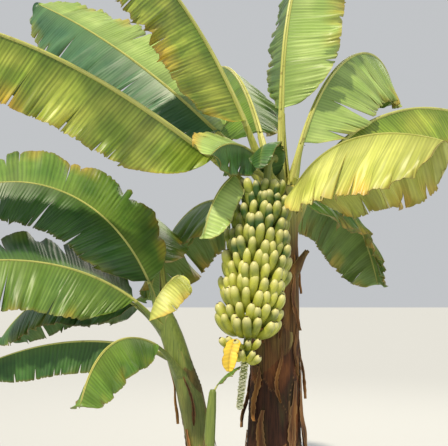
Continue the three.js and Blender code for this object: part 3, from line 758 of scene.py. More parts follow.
@dataclass
class Midrib:
    """A leaf's midrib, found by adding up its direction in small steps."""

    form: LeafForm
    rows: Array
    points: Array = field(init=False)

    STEPS: ClassVar[int] = 96

    def __post_init__(self) -> None:
        """Walks the midrib out from the leaf's foot in the neck of its stem."""
        form = self.form
        x, y, _ = stem_at(self.rows, form.height)
        foot = np.array([x, y, form.height]) + form.ring * level_way(math.radians(form.sector))
        self.points = np.tile(foot, (self.STEPS + 1, 1))
        ways = self.frame((np.arange(self.STEPS) + 0.5) / self.STEPS).along
        self.points[1:] += np.cumsum(ways * (form.length / self.STEPS), axis=0)

    def frame(self, shares: Array) -> RibFrame:
        """Finds places and axes along the midrib.

        Args:
            shares: shares of its length, from 0 at the foot to 1 at the tip.

        Returns:
            The places, with the ways along, left and above.
        """
        form = self.form
        heading = np.radians(form.heading + form.turn * shares)
        climb = np.radians(form.rise + (form.droop - form.rise) * shares ** form.bend)[:, None]
        along = np.cos(climb) * level_way(heading) - np.sin(climb) * DOWN
        left = level_way(heading + math.pi / 2.0)
        steps = np.arange(self.STEPS + 1)
        at = np.stack([np.interp(shares * self.STEPS, steps, row) for row in self.points.T], axis=-1)
        return RibFrame(at, along, left, np.cross(along, left))


@dataclass
class Columns:
    """Columns of points from the rib to the margin of one half, with a number for each in every field.

    Each stands at a share along the blade and at x, a share along its lobe. Up to its floor it is
    joined to the next lobe and shares its hang; beyond that it has its lobe's own hang, twist,
    sweep and curl.
    """

    share: Array
    x: Array
    floor: Array
    joined_hang: Array
    own_hang: Array
    twist: Array
    sweep: Array
    curl: Array
    pick: Array
    length: Array
    lobe: Array

    def near(self) -> Array:
        """Returns each column's distance from the nearer end of its lobe."""
        return np.minimum(self.x, 1.0 - self.x) * self.length


@dataclass
class Leaf:
    """One leaf: channelled petiole, tapering midrib and two pleated, torn halves of the blade.

    The outline, folds and hang repeat the frame's rule; the finer tears, lobes, pleats and
    waves between its named tears are added here within the same reach.
    """

    form: LeafForm
    rows: Array
    column_step: float = 5.0
    blade_rows: int = 13
    rib_step: float = 18.0
    thickness: float = 2.6
    pleat_pitch: float = 20.0
    pleat_depth: float = 1.5
    wave_height: float = 165.0
    fold_height: float = 72.0

    # The frame's own rule for the outline, folds, hang and tears
    BASE_ROUNDING: ClassVar[float] = 0.22
    TIP_ROUNDING: ClassVar[float] = 0.55
    LEAST_WIDTH: ClassVar[float] = 1.5
    SPLIT_DEPTH: ClassVar[float] = 0.8
    MARGIN_SWEEP: ClassVar[float] = 0.2
    FOLD_REACH: ClassVar[float] = 90.0
    HANG_SPREAD: ClassVar[float] = 0.32
    MOST_HANG: ClassVar[float] = 0.95
    TEAR_SPAN: ClassVar[tuple[float, float]] = (0.04, 0.98)
    TEAR_WANDER: ClassVar[float] = 0.3
    DEEPEST_TEAR: ClassVar[float] = 0.9
    # Fine tears between those, in shares of the blade and millimetres
    FINE_SPAN: ClassVar[tuple[float, float]] = (0.05, 0.985)
    DEEPEST_FINE_TEAR: ClassVar[float] = 0.88
    LEAST_TEAR_GAP: ClassVar[float] = 30.0
    TEAR_MOUTH_REACH: ClassVar[float] = 60.0
    # How a lobe between two tears hangs, turns, sweeps and curls by itself, and its corners
    LOBE_HANG: ClassVar[float] = 0.3
    LOBE_TWIST: ClassVar[float] = 0.55
    LOBE_SWEEP: ClassVar[float] = 0.22
    LEAST_CURL: ClassVar[float] = 0.07
    CURL_SPREAD: ClassVar[float] = 0.25
    WIDEST_LOBE_TURNED: ClassVar[float] = 260.0
    CORNER_REACH: ClassVar[float] = 14.0
    CORNER_ROUNDING: ClassVar[float] = 0.05
    PICK_STEPS: ClassVar[Array] = np.array([0.0, 0.7, 1.9, 5.3, 3.1])
    # The ragged, dry edge
    NICK_PITCH: ClassVar[float] = 9.0
    NICK_DEPTH: ClassVar[float] = 0.035
    WORN_EDGE: ClassVar[float] = 5.0
    WORN_MARGIN: ClassVar[float] = 0.955
    # A petiole's outline: from its left edge round below to the right, then lips and groove above
    ROUND_BELOW: ClassVar[Array] = np.radians(np.linspace(0.0, -180.0, 9))
    LIPS: ClassVar[Array] = np.array([[-0.86, 0.42], [-0.5, 0.34], [-0.2, 0.04], [0.0, -0.06],
                                      [0.2, 0.04], [0.5, 0.34], [0.86, 0.42]])

    def blade_length(self) -> float:
        """Returns the blade's length from the end of the petiole to the tip."""
        return self.form.length * (1.0 - self.form.petiole)

    def half_width(self, share: Array) -> Array:
        """Returns half the blade's width at shares from 0 at the petiole to 1 at the tip."""
        base = np.sqrt(np.clip(1.0 - (1.0 - share / self.BASE_ROUNDING) ** 2, 0.0, 1.0))
        base = np.where(share < self.BASE_ROUNDING, base, 1.0)
        past = np.clip((share - self.TIP_ROUNDING) / (1.0 - self.TIP_ROUNDING), 0.0, 1.0)
        return np.maximum(self.form.width * base * np.sqrt(1.0 - past * past), self.LEAST_WIDTH)

    def coarse_tears(self, side: int) -> list[tuple[float, float]]:
        """Finds the tears that the frame's solid has.

        Args:
            side: 0 for the left half, 1 for the right, as seen along the leaf.

        Returns:
            Share along the blade and depth of each.
        """
        form = self.form
        tears = []
        for k in range(form.tears):
            pick = form.seed * 31 + k * 7
            cut = k == form.tears // 2 and not form.whole
            wander = 0.0 if cut else (float(seeded(pick)) - 0.5) * self.TEAR_WANDER
            depth = min(self.DEEPEST_TEAR, form.torn * (0.35 + float(seeded(pick + 1 + side))))
            tears.append((mix(*self.TEAR_SPAN, (k + 1 + wander) / (form.tears + 1)),
                          self.SPLIT_DEPTH if cut else depth))
        return tears

    def all_tears(self, side: int) -> list[tuple[float, float]]:
        """Finds all tears of one half, the fine ones between the coarse.

        Args:
            side: 0 for the left half, 1 for the right.

        Returns:
            Share along the blade and depth of each, from the petiole on.
        """
        form = self.form
        found = self.coarse_tears(side)
        gap = self.LEAST_TEAR_GAP / self.blade_length()
        fray = mix(0.5, 1.5, float(seeded(form.seed * 5.1 + side * 2.3)))
        count = 2 + int(self.blade_length() / 1000.0 * (1.0 + 8.0 * form.torn) * fray)
        for j in range(count):
            pick = form.seed * 13.0 + j * 3.7 + side * 101.0
            share = mix(*self.FINE_SPAN, (j + 0.9 * float(seeded(pick))) / count)
            depth = 0.04 + 0.95 * form.torn * float(seeded(pick + 1.3)) ** 1.9
            if all(abs(share - other) > gap for other, _ in found):
                found.append((share, min(self.DEEPEST_FINE_TEAR, depth)))
        return sorted(found)

    def columns(self, side: int) -> Columns:
        """Divides one half into lobes and those into columns of points.

        Args:
            side: 0 for the left half, 1 for the right.

        Returns:
            The columns, from the petiole on.
        """
        form = self.form
        edges = np.array([0.0, *(share for share, _ in self.coarse_tears(side)), 1.0])
        hangs = seeded(form.seed * 17 + np.arange(form.tears + 1) * 3 + side * 5) - 0.5
        hangs = hangs * self.HANG_SPREAD * form.torn
        tears = self.all_tears(side)
        marks = [0.0] + [share for share, _ in tears] + [1.0]
        floors = [1.0] + [1.0 - depth for _, depth in tears] + [1.0]
        found = []
        for lobe, (start, end) in enumerate(zip(marks[:-1], marks[1:])):
            length = (end - start) * self.blade_length()
            x = np.linspace(0.0, 1.0, max(3, round(length / self.column_step)) + 1)
            if lobe == 0:
                x = x ** 1.5
            if lobe == len(tears):
                x = 1.0 - (1.0 - x) ** 1.5
            picks = seeded(form.seed * 7.7 + lobe * 2.3 + side * 53.0 + self.PICK_STEPS)
            hang = hangs[int(np.clip(np.searchsorted(edges, (start + end) / 2) - 1, 0, form.tears))]
            share = mix(start, end, x)
            found.append(np.stack(np.broadcast_arrays(
                share, x, mix(floors[lobe], floors[lobe + 1], x),
                np.interp(share, (edges[:-1] + edges[1:]) / 2.0, hangs),
                hang + (picks[0] - 0.5) * self.LOBE_HANG * form.torn,
                (picks[1] - 0.5) * self.LOBE_TWIST * (0.3 + form.torn),
                (picks[2] - 0.5) * self.LOBE_SWEEP * form.torn,
                (self.LEAST_CURL + self.CURL_SPREAD * picks[3]) * (0.55 + form.torn),
                picks[4], length, lobe)))
        return Columns(*np.hstack(found))

    def grid(self, columns: Columns, midrib: Midrib, side: int) -> tuple[Array, Array, Array]:
        """Places the points of one half, row by row from the rib out to the margin.

        Args:
            columns: the half's columns.
            midrib: the leaf's midrib.
            side: 0 for the left half, 1 for the right.

        Returns:
            By column and row: the point, the way up from the blade, and how loose from the next
            lobe it is, from 0 to 1.
        """
        form, to_side = self.form, 1.0 - 2.0 * side
        share, x, floor, length = columns.share, columns.x, columns.floor, columns.length
        frames = midrib.frame(mix(form.petiole, 1.0, share))
        width = self.half_width(share)
        ease = np.minimum(1.0, width / self.FOLD_REACH)
        fold = np.radians(form.fold[side]) * ease[:, None]
        across = frames.left * to_side * np.cos(fold) - frames.above * np.sin(fold)
        sag = DOWN - frames.along * (frames.along @ DOWN)[:, None]
        drop = np.linalg.norm(sag, axis=1)
        near = columns.near()
        corner = self.CORNER_ROUNDING * np.exp(-((near / self.CORNER_REACH) ** 2))
        mouth = (2.0 + 5.0 * columns.pick) * (0.2 + 1.1 * (1.0 - floor)) * (1.0 - 2.0 * x)
        mouth = mouth * np.exp(-near / self.TEAR_MOUTH_REACH)
        nick = np.floor(share * self.blade_length() / self.NICK_PITCH)
        nicks = self.NICK_DEPTH * seeded(nick * 0.37 + form.seed) ** 3
        bent = columns.twist * (x - 0.5) - columns.curl * ((2.0 * x - 1.0) ** 2 - 0.33)
        bent = bent * np.minimum(length, self.WIDEST_LOBE_TURNED)
        point, free = frames.at, np.maximum(1.0 - floor, 0.02)
        points, lifts, looses = [point], [unit(np.cross(frames.along, across) * to_side)], [share * 0.0]
        for row in range(self.blade_rows):
            v = (row + 0.5) / self.blade_rows
            loose = eased((v - floor) / free)
            hang = form.hang[side] + mix(columns.joined_hang, columns.own_hang, loose)
            hang = np.clip(hang, 0.0, self.MOST_HANG) * v * ease
            way = across * (1.0 - hang * drop)[:, None] + sag * hang[:, None]
            way = unit(way + frames.along * (self.MARGIN_SWEEP + columns.sweep * loose)[:, None])
            point = point + way * (width / self.blade_rows * (1.0 - corner * loose - nicks))[:, None]
            lifts.append(unit(np.cross(frames.along, way) * to_side))
            looses.append(eased(((row + 1) / self.blade_rows - floor) / free))
            points.append(point + lifts[-1] * (bent * looses[-1])[:, None]
                          + frames.along * (mouth * looses[-1])[:, None])
        return np.stack(points, axis=1), np.stack(lifts, axis=1), np.stack(looses, axis=1)

    def half(self, skin: Skin, midrib: Midrib, side: int) -> None:
        """Adds one half of the blade as a thin closed shell.

        Args:
            skin: the leaf's mesh.
            midrib: the leaf's midrib.
            side: 0 for the left half, 1 for the right.
        """
        columns = self.columns(side)
        points, lift, loose = self.grid(columns, midrib, side)
        deep = self.blade_rows + 1
        index = np.arange(len(points) * deep).reshape(-1, deep)
        for seam in np.flatnonzero(np.diff(columns.lobe) > 0):
            within = np.arange(deep) <= int(columns.floor[seam] * self.blade_rows)
            joined = (loose[seam] <= 1e-9) & within
            index[seam + 1, joined] = index[seam, joined]
        inside = np.diff(columns.lobe) == 0
        low, high = index[:-1][inside], index[1:][inside]
        quads = np.stack([low[:, :-1], high[:, :-1], high[:, 1:], low[:, 1:]], axis=-1).reshape(-1, 4)
        kept, inverse = np.unique(quads[:, ::-1] if side else quads, return_inverse=True)
        v, pick = np.linspace(0.0, 1.0, deep), columns.pick[:, None]
        worn = np.exp(-((columns.near() / self.WORN_EDGE) ** 2))[:, None] * loose * 0.4
        worn = np.maximum(worn, eased(v, self.WORN_MARGIN, 1.0) * 0.6) * (0.4 + 0.6 * pick)
        outward = v * self.half_width(columns.share)[:, None] * MM * (1.0 - 2.0 * side)
        flat = np.stack(np.broadcast_arrays((columns.share * self.blade_length() * MM)[:, None], outward,
                                            self.form.seed * 1.7), axis=-1)
        ways = lift.reshape(-1, 3)[kept]
        stored = {"lift": ways, "flat": flat.reshape(-1, 3)[kept]}
        for name, value in (("across", v), ("wear", worn), ("lobe", pick)):
            stored[name] = np.broadcast_to(value, loose.shape).reshape(-1)[kept]
        both, faces = thick_sheet(points.reshape(-1, 3)[kept], ways, inverse.reshape(-1, 4),
                                  self.thickness)
        zones = np.repeat([Zone.UPPER_LEFT.value + side, Zone.UNDER_LEFT.value + side, Zone.MARGIN.value],
                          [len(quads), len(quads), len(faces) - 2 * len(quads)])
        stored = {name: np.concatenate([part, part]) for name, part in stored.items()}
        skin.add(both, faces.tolist(), stored, zones)

    def rib(self, skin: Skin, midrib: Midrib) -> None:
        """Adds the petiole and midrib: rounded below, with pale lips and a groove above.

        Args:
            skin: the leaf's mesh.
            midrib: the leaf's midrib.
        """
        form = self.form
        stations = np.linspace(0.0, 0.995, int(form.length / self.rib_step))
        frames = midrib.frame(stations)
        in_blade = np.clip((stations - form.petiole) / (1.0 - form.petiole), 0.0, 1.0)
        radius = form.rib * np.where(stations < form.petiole, mix(1.1, 0.8, stations / form.petiole),
                                     mix(0.8, 0.3, in_blade))
        radius = (radius * mix(1.0, 0.5, np.clip((in_blade - 0.9) * 10.0, 0.0, 1.0)))[:, None, None]
        below = np.stack([np.cos(self.ROUND_BELOW), np.sin(self.ROUND_BELOW) * 1.15], axis=-1)
        sideways, upright = np.vstack([below, self.LIPS])[::-1].T
        flatten = mix(1.0, 0.62, eased(in_blade, 0.0, 0.12))[:, None]
        height = upright * np.where(np.arange(len(upright)) < len(self.LIPS), flatten, 1.0)
        rings = (frames.at[:, None] + frames.left[:, None] * radius * sideways[:, None]
                 + frames.above[:, None] * radius * height[..., None])
        girth = np.linspace(0.12, 0.0, len(upright))
        reach = (stations * form.length * MM)[:, None]
        flat = np.stack(np.broadcast_arrays(reach, girth, form.seed), axis=-1)
        skin.add_tube(rings, (frames.at[0], frames.at[-1]), {
            "across": 0.0, "wear": 0.0, "lobe": 0.5, "lift": np.zeros((1, 1, 3)), "flat": flat,
        }, Zone.RIB.value)

    def build(self, tree: bpy.types.NodeTree) -> bpy.types.Object:
        """Builds the leaf, pleats it and dresses it.

        Args:
            tree: the pleats' Geometry Nodes tree.

        Returns:
            The leaf's piece.
        """
        form = self.form
        midrib = Midrib(form, self.rows)
        skin = Skin()
        self.half(skin, midrib, 0)
        self.half(skin, midrib, 1)
        self.rib(skin, midrib)
        tones = TONES.get(form.name, (Tone.GREEN, Tone.GREEN))
        finishes = [faces[tone] for faces in (UPPER_FINISHES, UNDER_FINISHES) for tone in tones]
        source = skin.to_object(f"{form.name}_blade")
        return run_tree(source.name, tree, {
            "Pleat Pitch": self.pleat_pitch * MM,
            "Pleat Depth": self.pleat_depth * MM,
            # A narrow blade waves and folds less
            "Wave Height": self.wave_height * MM * min(1.0, form.width / 340.0) ** 1.5,
            "Fold Height": self.fold_height * MM * min(1.0, form.width / 320.0),
            "Wave Seed": float(form.seed),
            **{zone.name: finish.material()
               for zone, finish in zip(Zone, (*finishes, MARGIN_FINISH, RIB_FINISH))},
        }, source)


class PleatTree:
    """Geometry Nodes that pleat a blade, let its margin wave and give each zone its finish."""

    SIZES: ClassVar[tuple[str, ...]] = ("Pleat Pitch", "Pleat Depth", "Wave Height", "Fold Height",
                                        "Wave Seed")

    def build(self) -> bpy.types.NodeTree:
        """Returns the tree, with named inputs for its sizes and finishes."""
        tree, given = new_tree("pleated_blade", {
            "Geometry": "Geometry", **dict.fromkeys(self.SIZES, "Float"),
            **{zone.name: "Material" for zone in Zone}})
        add = partial(add_node, tree)
        across, flat, lift, zone_of = (
            add("InputNamedAttribute", {"data_type": kind, "Name": name}) for name, kind in (
                ("across", "FLOAT"), ("flat", "FLOAT_VECTOR"), ("lift", "FLOAT_VECTOR"), ("zone", "INT")))
        own = {"noise_dimensions": "4D", "W": given["Wave Seed"]}
        drift, depth_noise, bulge_noise, fold_noise = (
            add("TexNoise", {"Scale": 1.0, "Detail": detail, **more, "Vector": add(
                "VectorMath", {"operation": "MULTIPLY", 0: flat, 1: stretch})})
            for stretch, detail, more in (
                ((7.0, 1.2, 1.0), 1.0, {}), ((3.3, 3.0, 2.3), 1.0, {}),
                ((11.0, 1.0, 1.0), 1.0, own), ((4.6, 0.5, 1.0), 0.0, own)))
        # Pleats run unevenly: their pitch drifts over about 150 mm and their depth over 300 mm
        depth_share, bulge_share = (
            add("MapRange", {"From Min": 0.36, "From Max": 0.66, "To Min": low, "To Max": high,
                             "Value": depth_noise}) for low, high in ((0.1, 1.3), (1.2, 0.4)))
        along = add("SeparateXYZ", {0: flat}, "X")
        even = add("Math", {"operation": "DIVIDE", 0: along, 1: given["Pleat Pitch"]})
        turns = add("Math", {"operation": "MULTIPLY_ADD", 0: drift, 1: 5.0, 2: even})
        angle = add("Math", {"operation": "MULTIPLY", 0: turns, 1: 2.0 * math.pi})
        pleat = add("Math", {"operation": "SINE", 0: angle})
        fade = add("MapRange", {"From Min": 0.02, "From Max": 0.22, "Value": across})
        for share in (depth_share, given["Pleat Depth"], fade):
            pleat = add("Math", {"operation": "MULTIPLY", 0: pleat, 1: share})
        # Barrel-like bulges about 90 mm wide, creased between, grow from the rib to the margin
        centred = add("Math", {"operation": "SUBTRACT", 0: bulge_noise, 1: 0.5})
        bulge = add("Math", {"operation": "ABSOLUTE", 0: centred})
        reach = add("Math", {"operation": "POWER", 0: across, 1: 1.3})
        for share in (bulge_share, reach):
            bulge = add("Math", {"operation": "MULTIPLY", 0: bulge, 1: share})
        # Folds about 220 mm apart run from the rib to the margin, as on a blade that sags
        fold = add("Math", {"operation": "SUBTRACT", 0: fold_noise, 1: 0.5})
        fold = add("Math", {"operation": "MULTIPLY", 0: fold, 1: across})
        height = pleat
        for part, size in ((bulge, "Wave Height"), (fold, "Fold Height")):
            height = add("Math", {"operation": "MULTIPLY_ADD", 0: part, 1: given[size], 2: height})
        offset = add("VectorMath", {"operation": "SCALE", 0: lift, "Scale": height})
        moved = add("SetPosition", {"Geometry": given["Geometry"], "Offset": offset})
        shape = add("RealizeInstances", {"Geometry": moved})
        for zone in Zone:
            same = add("Compare", {"data_type": "INT", "operation": "EQUAL", 2: zone_of, 3: zone.value})
            shape = add("SetMaterial", {"Geometry": shape, "Selection": same,
                                        "Material": given[zone.name]})
        add("GroupOutput", {0: shape})
        return tree


@dataclass
class SheathedStem:
    """A stem of leaf sheaths wrapped one over another, each ending where its leaf leaves.

    Older sheaths lie outside and end lower. Each edge stands a few millimetres proud of the
    sheath beneath it, so the stem shows long overlapping plates.
    """

    name: str
    rows: Array
    finish: SheathFinish
    slot: str
    leaves: tuple[tuple[float, float], ...]
    old_sheaths: int
    dry_between: tuple[float, float]
    seed: int
    columns: int = 160
    ring_step: float = 7.0
    edge_height: float = 5.0
    neck_drop: float = 70.0
    leaf_half_angle: float = 112.0
    shoulder: float = 260.0

    RAGGED_STEP: ClassVar[float] = 7.0
    RAGGED_HEIGHT: ClassVar[float] = 46.0
    SWAY: ClassVar[float] = 6.0
    SWAY_LENGTH: ClassVar[float] = 170.0
    SIDE_BLEND: ClassVar[float] = 13.0
    TOP_BLEND: ClassVar[float] = 26.0
    PAPERY_SIDE: ClassVar[float] = 3.2
    PAPERY_TOP: ClassVar[float] = 9.0

    def plates(self) -> list[tuple[float, float, float, float, float]]:
        """Returns sector, half angle, top height, dryness and tint of each sheath, outermost first."""
        found = [(sector, self.leaf_half_angle, height - 20.0, 0.0, float(seeded(self.seed + k * 1.3)))
                 for k, (sector, height) in enumerate(self.leaves)]
        for k in range(self.old_sheaths):
            picks = seeded(self.seed * 3.1 + k * 2.7 + np.arange(3))
            height = self.rows[-1, 0] * mix(0.06, 0.93, (k + 0.5) / self.old_sheaths)
            found.append((k * GOLDEN_ANGLE + self.seed * 40.0, mix(55.0, 105.0, picks[1]),
                          height + (picks[0] - 0.5) * 90.0, 1.0, picks[2]))
        return sorted(found, key=lambda plate: plate[2])

    def build(self) -> bpy.types.Object:
        """Builds the stem as one closed mesh, with its dryness, tint and edges stored on it."""
        bottom, top = self.rows[0, 0], self.rows[-1, 0]
        heights = np.linspace(bottom, top, int((top - bottom) / self.ring_step))
        angles = np.arange(self.columns) * (360.0 / self.columns)
        z, angle = np.meshgrid(heights, angles, indexing="ij")
        offset, dry, tint, edge = (np.zeros(z.shape) for _ in range(4))
        shown = np.zeros(z.shape, dtype=bool)
        for sector, half, plate_top, dryness, pick in self.plates():
            ragged = seeded(np.floor(angle / self.RAGGED_STEP) * 1.7 + pick * 40.0) - 0.5
            ragged = ragged * self.RAGGED_HEIGHT * dryness
            sway = self.SWAY * np.sin(z / self.SWAY_LENGTH + pick * 9.0)
            share = np.abs((angle - sector + 180.0 + sway) % 360.0 - 180.0) / half
            inward = (1.0 - share) * half
            below = plate_top + ragged - self.shoulder * np.clip(share, 0.0, 1.0) ** 2.5 - z
            covers = (share < 1.0) & (below > 0.0)
            fresh = covers & ~shown
            lift = np.maximum(1.0 - eased(inward, 0.0, self.SIDE_BLEND),
                              0.9 - 0.9 * eased(below, 0.0, self.TOP_BLEND))
            papery = 1.0 - np.minimum(eased(inward, 0.0, self.PAPERY_SIDE),
                                      eased(below, 0.0, self.PAPERY_TOP))
            for kept, value in ((offset, lift * self.edge_height + 1.5 * pick), (dry, dryness * 0.75),
                                (tint, pick), (edge, papery * (0.35 + 0.5 * pick))):
                np.copyto(kept, value, where=fresh)
            shown |= covers
        dry = np.clip(dry + 1.0 - eased(z, *self.dry_between), 0.0, 1.0)
        x, y, radius = stem_at(self.rows, z)
        neck = eased(z, top - self.neck_drop, top)
        radius = (radius - 3.0 + offset * mix(1.0, 0.3, neck)) * mix(1.0, 0.72, neck ** 2)
        rings = np.stack([x, y, z], axis=-1) + level_way(np.radians(angle)) * radius[..., None]
        ends = [np.array([row[1], row[2], row[0]]) for row in self.rows[[0, -1]]]
        skin = Skin()
        skin.add_tube(rings, ends, {"dry": dry, "tint": tint, "edge": edge})
        return skin.to_object(f"{self.name}_sheaths", self.finish)


@dataclass
class SheathMouths:
    """The green throats above a stem: each leaf's sheath narrowing to its channelled petiole."""

    name: str
    rows: Array
    leaves: tuple[LeafForm, ...]
    finish: SheathFinish
    dry_between: tuple[float, float]
    drop: float = 420.0
    thickness: float = 3.5
    arc: float = 98.0
    tongue: float = 190.0
    steps: int = 48
    sides: int = 20

    ON_STEM: ClassVar[float] = 0.42
    UP_PETIOLE: ClassVar[float] = 0.94
    CLEAR_OF_STEM: ClassVar[float] = 3.0
    SUNK_FOOT: ClassVar[float] = 12.0
    FOOT_SPREAD: ClassVar[float] = 0.45
    GRIP_SPAN: ClassVar[tuple[float, float]] = (0.22, 0.66)

    def mouth(self, form: LeafForm, skin: Skin) -> None:
        """Adds one leaf's sheath, from where it wraps the stem to where it grips the petiole.

        Args:
            form: the leaf.
            skin: the throats' mesh.
        """
        walk = np.linspace(0.0, 1.0, self.steps)
        rise = np.clip((walk - self.ON_STEM) / (1.0 - self.ON_STEM), 0.0, 1.0)
        frames = Midrib(form, self.rows).frame(rise * self.UP_PETIOLE * form.petiole)
        height = form.height - self.drop * (1.0 - np.clip(walk / self.ON_STEM, 0.0, 1.0))
        spread = np.radians(np.linspace(-self.arc, self.arc, self.sides))[:, None]
        turn = spread * mix(self.FOOT_SPREAD, 1.0, eased(walk, 0.0, 0.25))
        rounded = height - self.tongue * (1.0 - eased(walk, 0.0, 0.4)) * np.cos(turn) ** 2
        x, y, stem_radius = stem_at(self.rows, rounded)
        grip = eased(walk, *self.GRIP_SPAN)
        clear = self.CLEAR_OF_STEM - self.SUNK_FOOT * (1.0 - eased(walk, 0.0, 0.3))
        held = form.rib * mix(2.0, 0.98, eased(rise, 0.05, 1.0))
        radius = mix(stem_radius + clear, held, grip) - self.thickness / 2.0
        centre = mix(np.stack([x, y, rounded], axis=-1), frames.at, grip[:, None])
        out, side = (level_way(math.radians(form.sector + quarter)) for quarter in (0.0, 90.0))
        facing = unit(mix(out, -frames.above, grip[:, None]))
        beside = unit(mix(side, frames.left * np.sign(frames.left @ side)[:, None], grip[:, None]))
        way = facing * np.cos(turn)[..., None] + beside * np.sin(turn)[..., None]
        skin.add_sheet(centre + way * radius[..., None], way, self.thickness, {
            "dry": 1.0 - eased(np.where(walk < self.ON_STEM, height, frames.at[:, 2]),
                               *self.dry_between),
            "tint": seeded(form.seed),
            "edge": eased(np.abs(turn) / math.radians(self.arc), 0.9, 1.0) * 0.45,
        })

    def build(self) -> bpy.types.Object:
        """Builds all the stem's throats as one piece."""
        skin = Skin()
        for form in self.leaves:
            self.mouth(form, skin)
        return skin.to_object(f"{self.name}_throats", self.finish)


@dataclass
class DryStrips:
    """Dead outer sheaths of a stem, torn into strips that hang and curl away from it."""

    name: str
    rows: Array
    between: tuple[float, float]
    count: int
    seed: int
    widest: float = 26.0
    loosest: float = 44.0
    thickness: float = 1.8
    steps: int = 52
    columns: int = 7

    SHORTEST: ClassVar[float] = 260.0
    LONGEST: ClassVar[float] = 640.0
    ABOVE_GROUND: ClassVar[float] = 30.0
    HELD_LIFT: ClassVar[float] = 5.5
    FLUTTER: ClassVar[float] = 3.0

    def strip(self, number: int, skin: Skin) -> None:
        """Adds one strip, held along its upper part and loose towards its lower end.

        Args:
            number: its number from the lowest up.
            skin: the strips' mesh.
        """
        picks = seeded(self.seed + number * 1.7 + np.arange(7) * 0.61)
        top = mix(*self.between, (number + picks[0]) / self.count)
        bottom = max(top - mix(self.SHORTEST, self.LONGEST, picks[1]), self.ABOVE_GROUND)
        walk = np.linspace(0.0, 1.0, self.steps)
        height = mix(bottom, top, walk)
        x, y, radius = stem_at(self.rows, height)
        middle = math.radians(number * GOLDEN_ANGLE + 50.0 * picks[2])
        middle = middle + 0.1 * np.sin(walk * 6.0 + picks[3] * 6.0)
        ragged = 0.75 + 0.5 * seeded(np.floor(walk * 26.0) * 0.73 + number)
        half = mix(0.3, 1.0, picks[4]) * self.widest * mix(0.4, 1.0, eased(walk, 0.0, 0.18))
        half = half * mix(1.0, 0.35, eased(walk, 0.7, 1.0)) * ragged
        loose = eased(1.0 - walk, 0.35, 1.0)
        lift = self.HELD_LIFT + picks[5] * self.loosest * loose ** 1.6
        lift = lift + self.FLUTTER * np.sin(walk * 19.0 + picks[6] * 9.0) * loose
        sideways = np.linspace(-1.0, 1.0, self.columns)[:, None]
        way = level_way(middle + half * sideways / radius)
        reach = radius + lift + (2.0 + 9.0 * loose) * (sideways ** 2 - 0.3)
        points = np.stack([x, y, height], axis=-1) + way * reach[..., None]
        skin.add_sheet(points, way, self.thickness, {
            "dry": 1.0, "tint": mix(0.3, 1.0, picks[3]), "edge": 0.5 * np.abs(sideways) ** 3})

    def build(self) -> bpy.types.Object:
        """Builds all the stem's strips as one piece."""
        skin = Skin()
        for number in range(self.count):
            self.strip(number, skin)
        return skin.to_object(f"{self.name}_dry_strips", STRIP_FINISH)


HAND_LINE_TOP = np.array([-47.0, -263.0, 1841.0])
HAND_LINE_END = np.array([-136.0, -327.0, 1149.0])
STALK_ROUTE = np.vstack([
    [[55, 0, 1990], [50, -22, 2070], [18, -110, 2134], [-18, -205, 2090]],
    [mix(HAND_LINE_TOP, HAND_LINE_END, share) for share in (-0.22, -0.12, 0.0, 0.5, 1.0, 1.2, 1.38)],
])


@dataclass(frozen=True)
class HandForm:
    """One hand of the bunch: its fingers' arc round the stalk, length, rise and painted light, a lighter
    green standing for sun on the lower hands and a darker one for shade on the upper.
    """

    first_angle: float
    last_angle: float
    length: float
    rise_start: float
    rise_end: float
    # Painted light: how much lighter the hand's green is painted, as if sunlit; low on upper hands, which
    # stand for shade
    painted_light: float


# The last number of each hand is its painted light: painted shade on the top hands, painted sun lower
# down
HANDS: tuple[HandForm, ...] = (
    HandForm(-76, 60, 155, 16, 96, 0.0), HandForm(-100, 84, 180, 0, 94, 0.04),
    HandForm(-124, 108, 190, -8, 92, 0.2), HandForm(-100, 108, 190, -8, 90, 0.5),
    HandForm(-124, 108, 184, -8, 86, 0.6), HandForm(-100, 84, 172, -10, 74, 0.42),
    HandForm(-52, 36, 132, -14, 46, 0.66),
)


class RoundTree:
    """Geometry Nodes of things that stand round a stalk."""

    def around(self, add: Adder, angle: Socket, radius: Socket, height: Socket | None = None) -> Socket:
        """Adds the nodes of a place round the stalk.

        Args:
            add: adds one node to the tree.
            angle: angle round the stalk.
            radius: distance from its axis.
            height: height along it, or None.

        Returns:
            The place.
        """
        cosine, sine = (add("Math", {"operation": kind, 0: angle}) for kind in ("COSINE", "SINE"))
        level = add("CombineXYZ", {"X": cosine, "Y": sine})
        out = add("VectorMath", {"operation": "SCALE", 0: level, "Scale": radius})
        if height is None:
            return out
        return add("VectorMath", {"operation": "ADD", 0: out, 1: add("CombineXYZ", {"Z": height})})


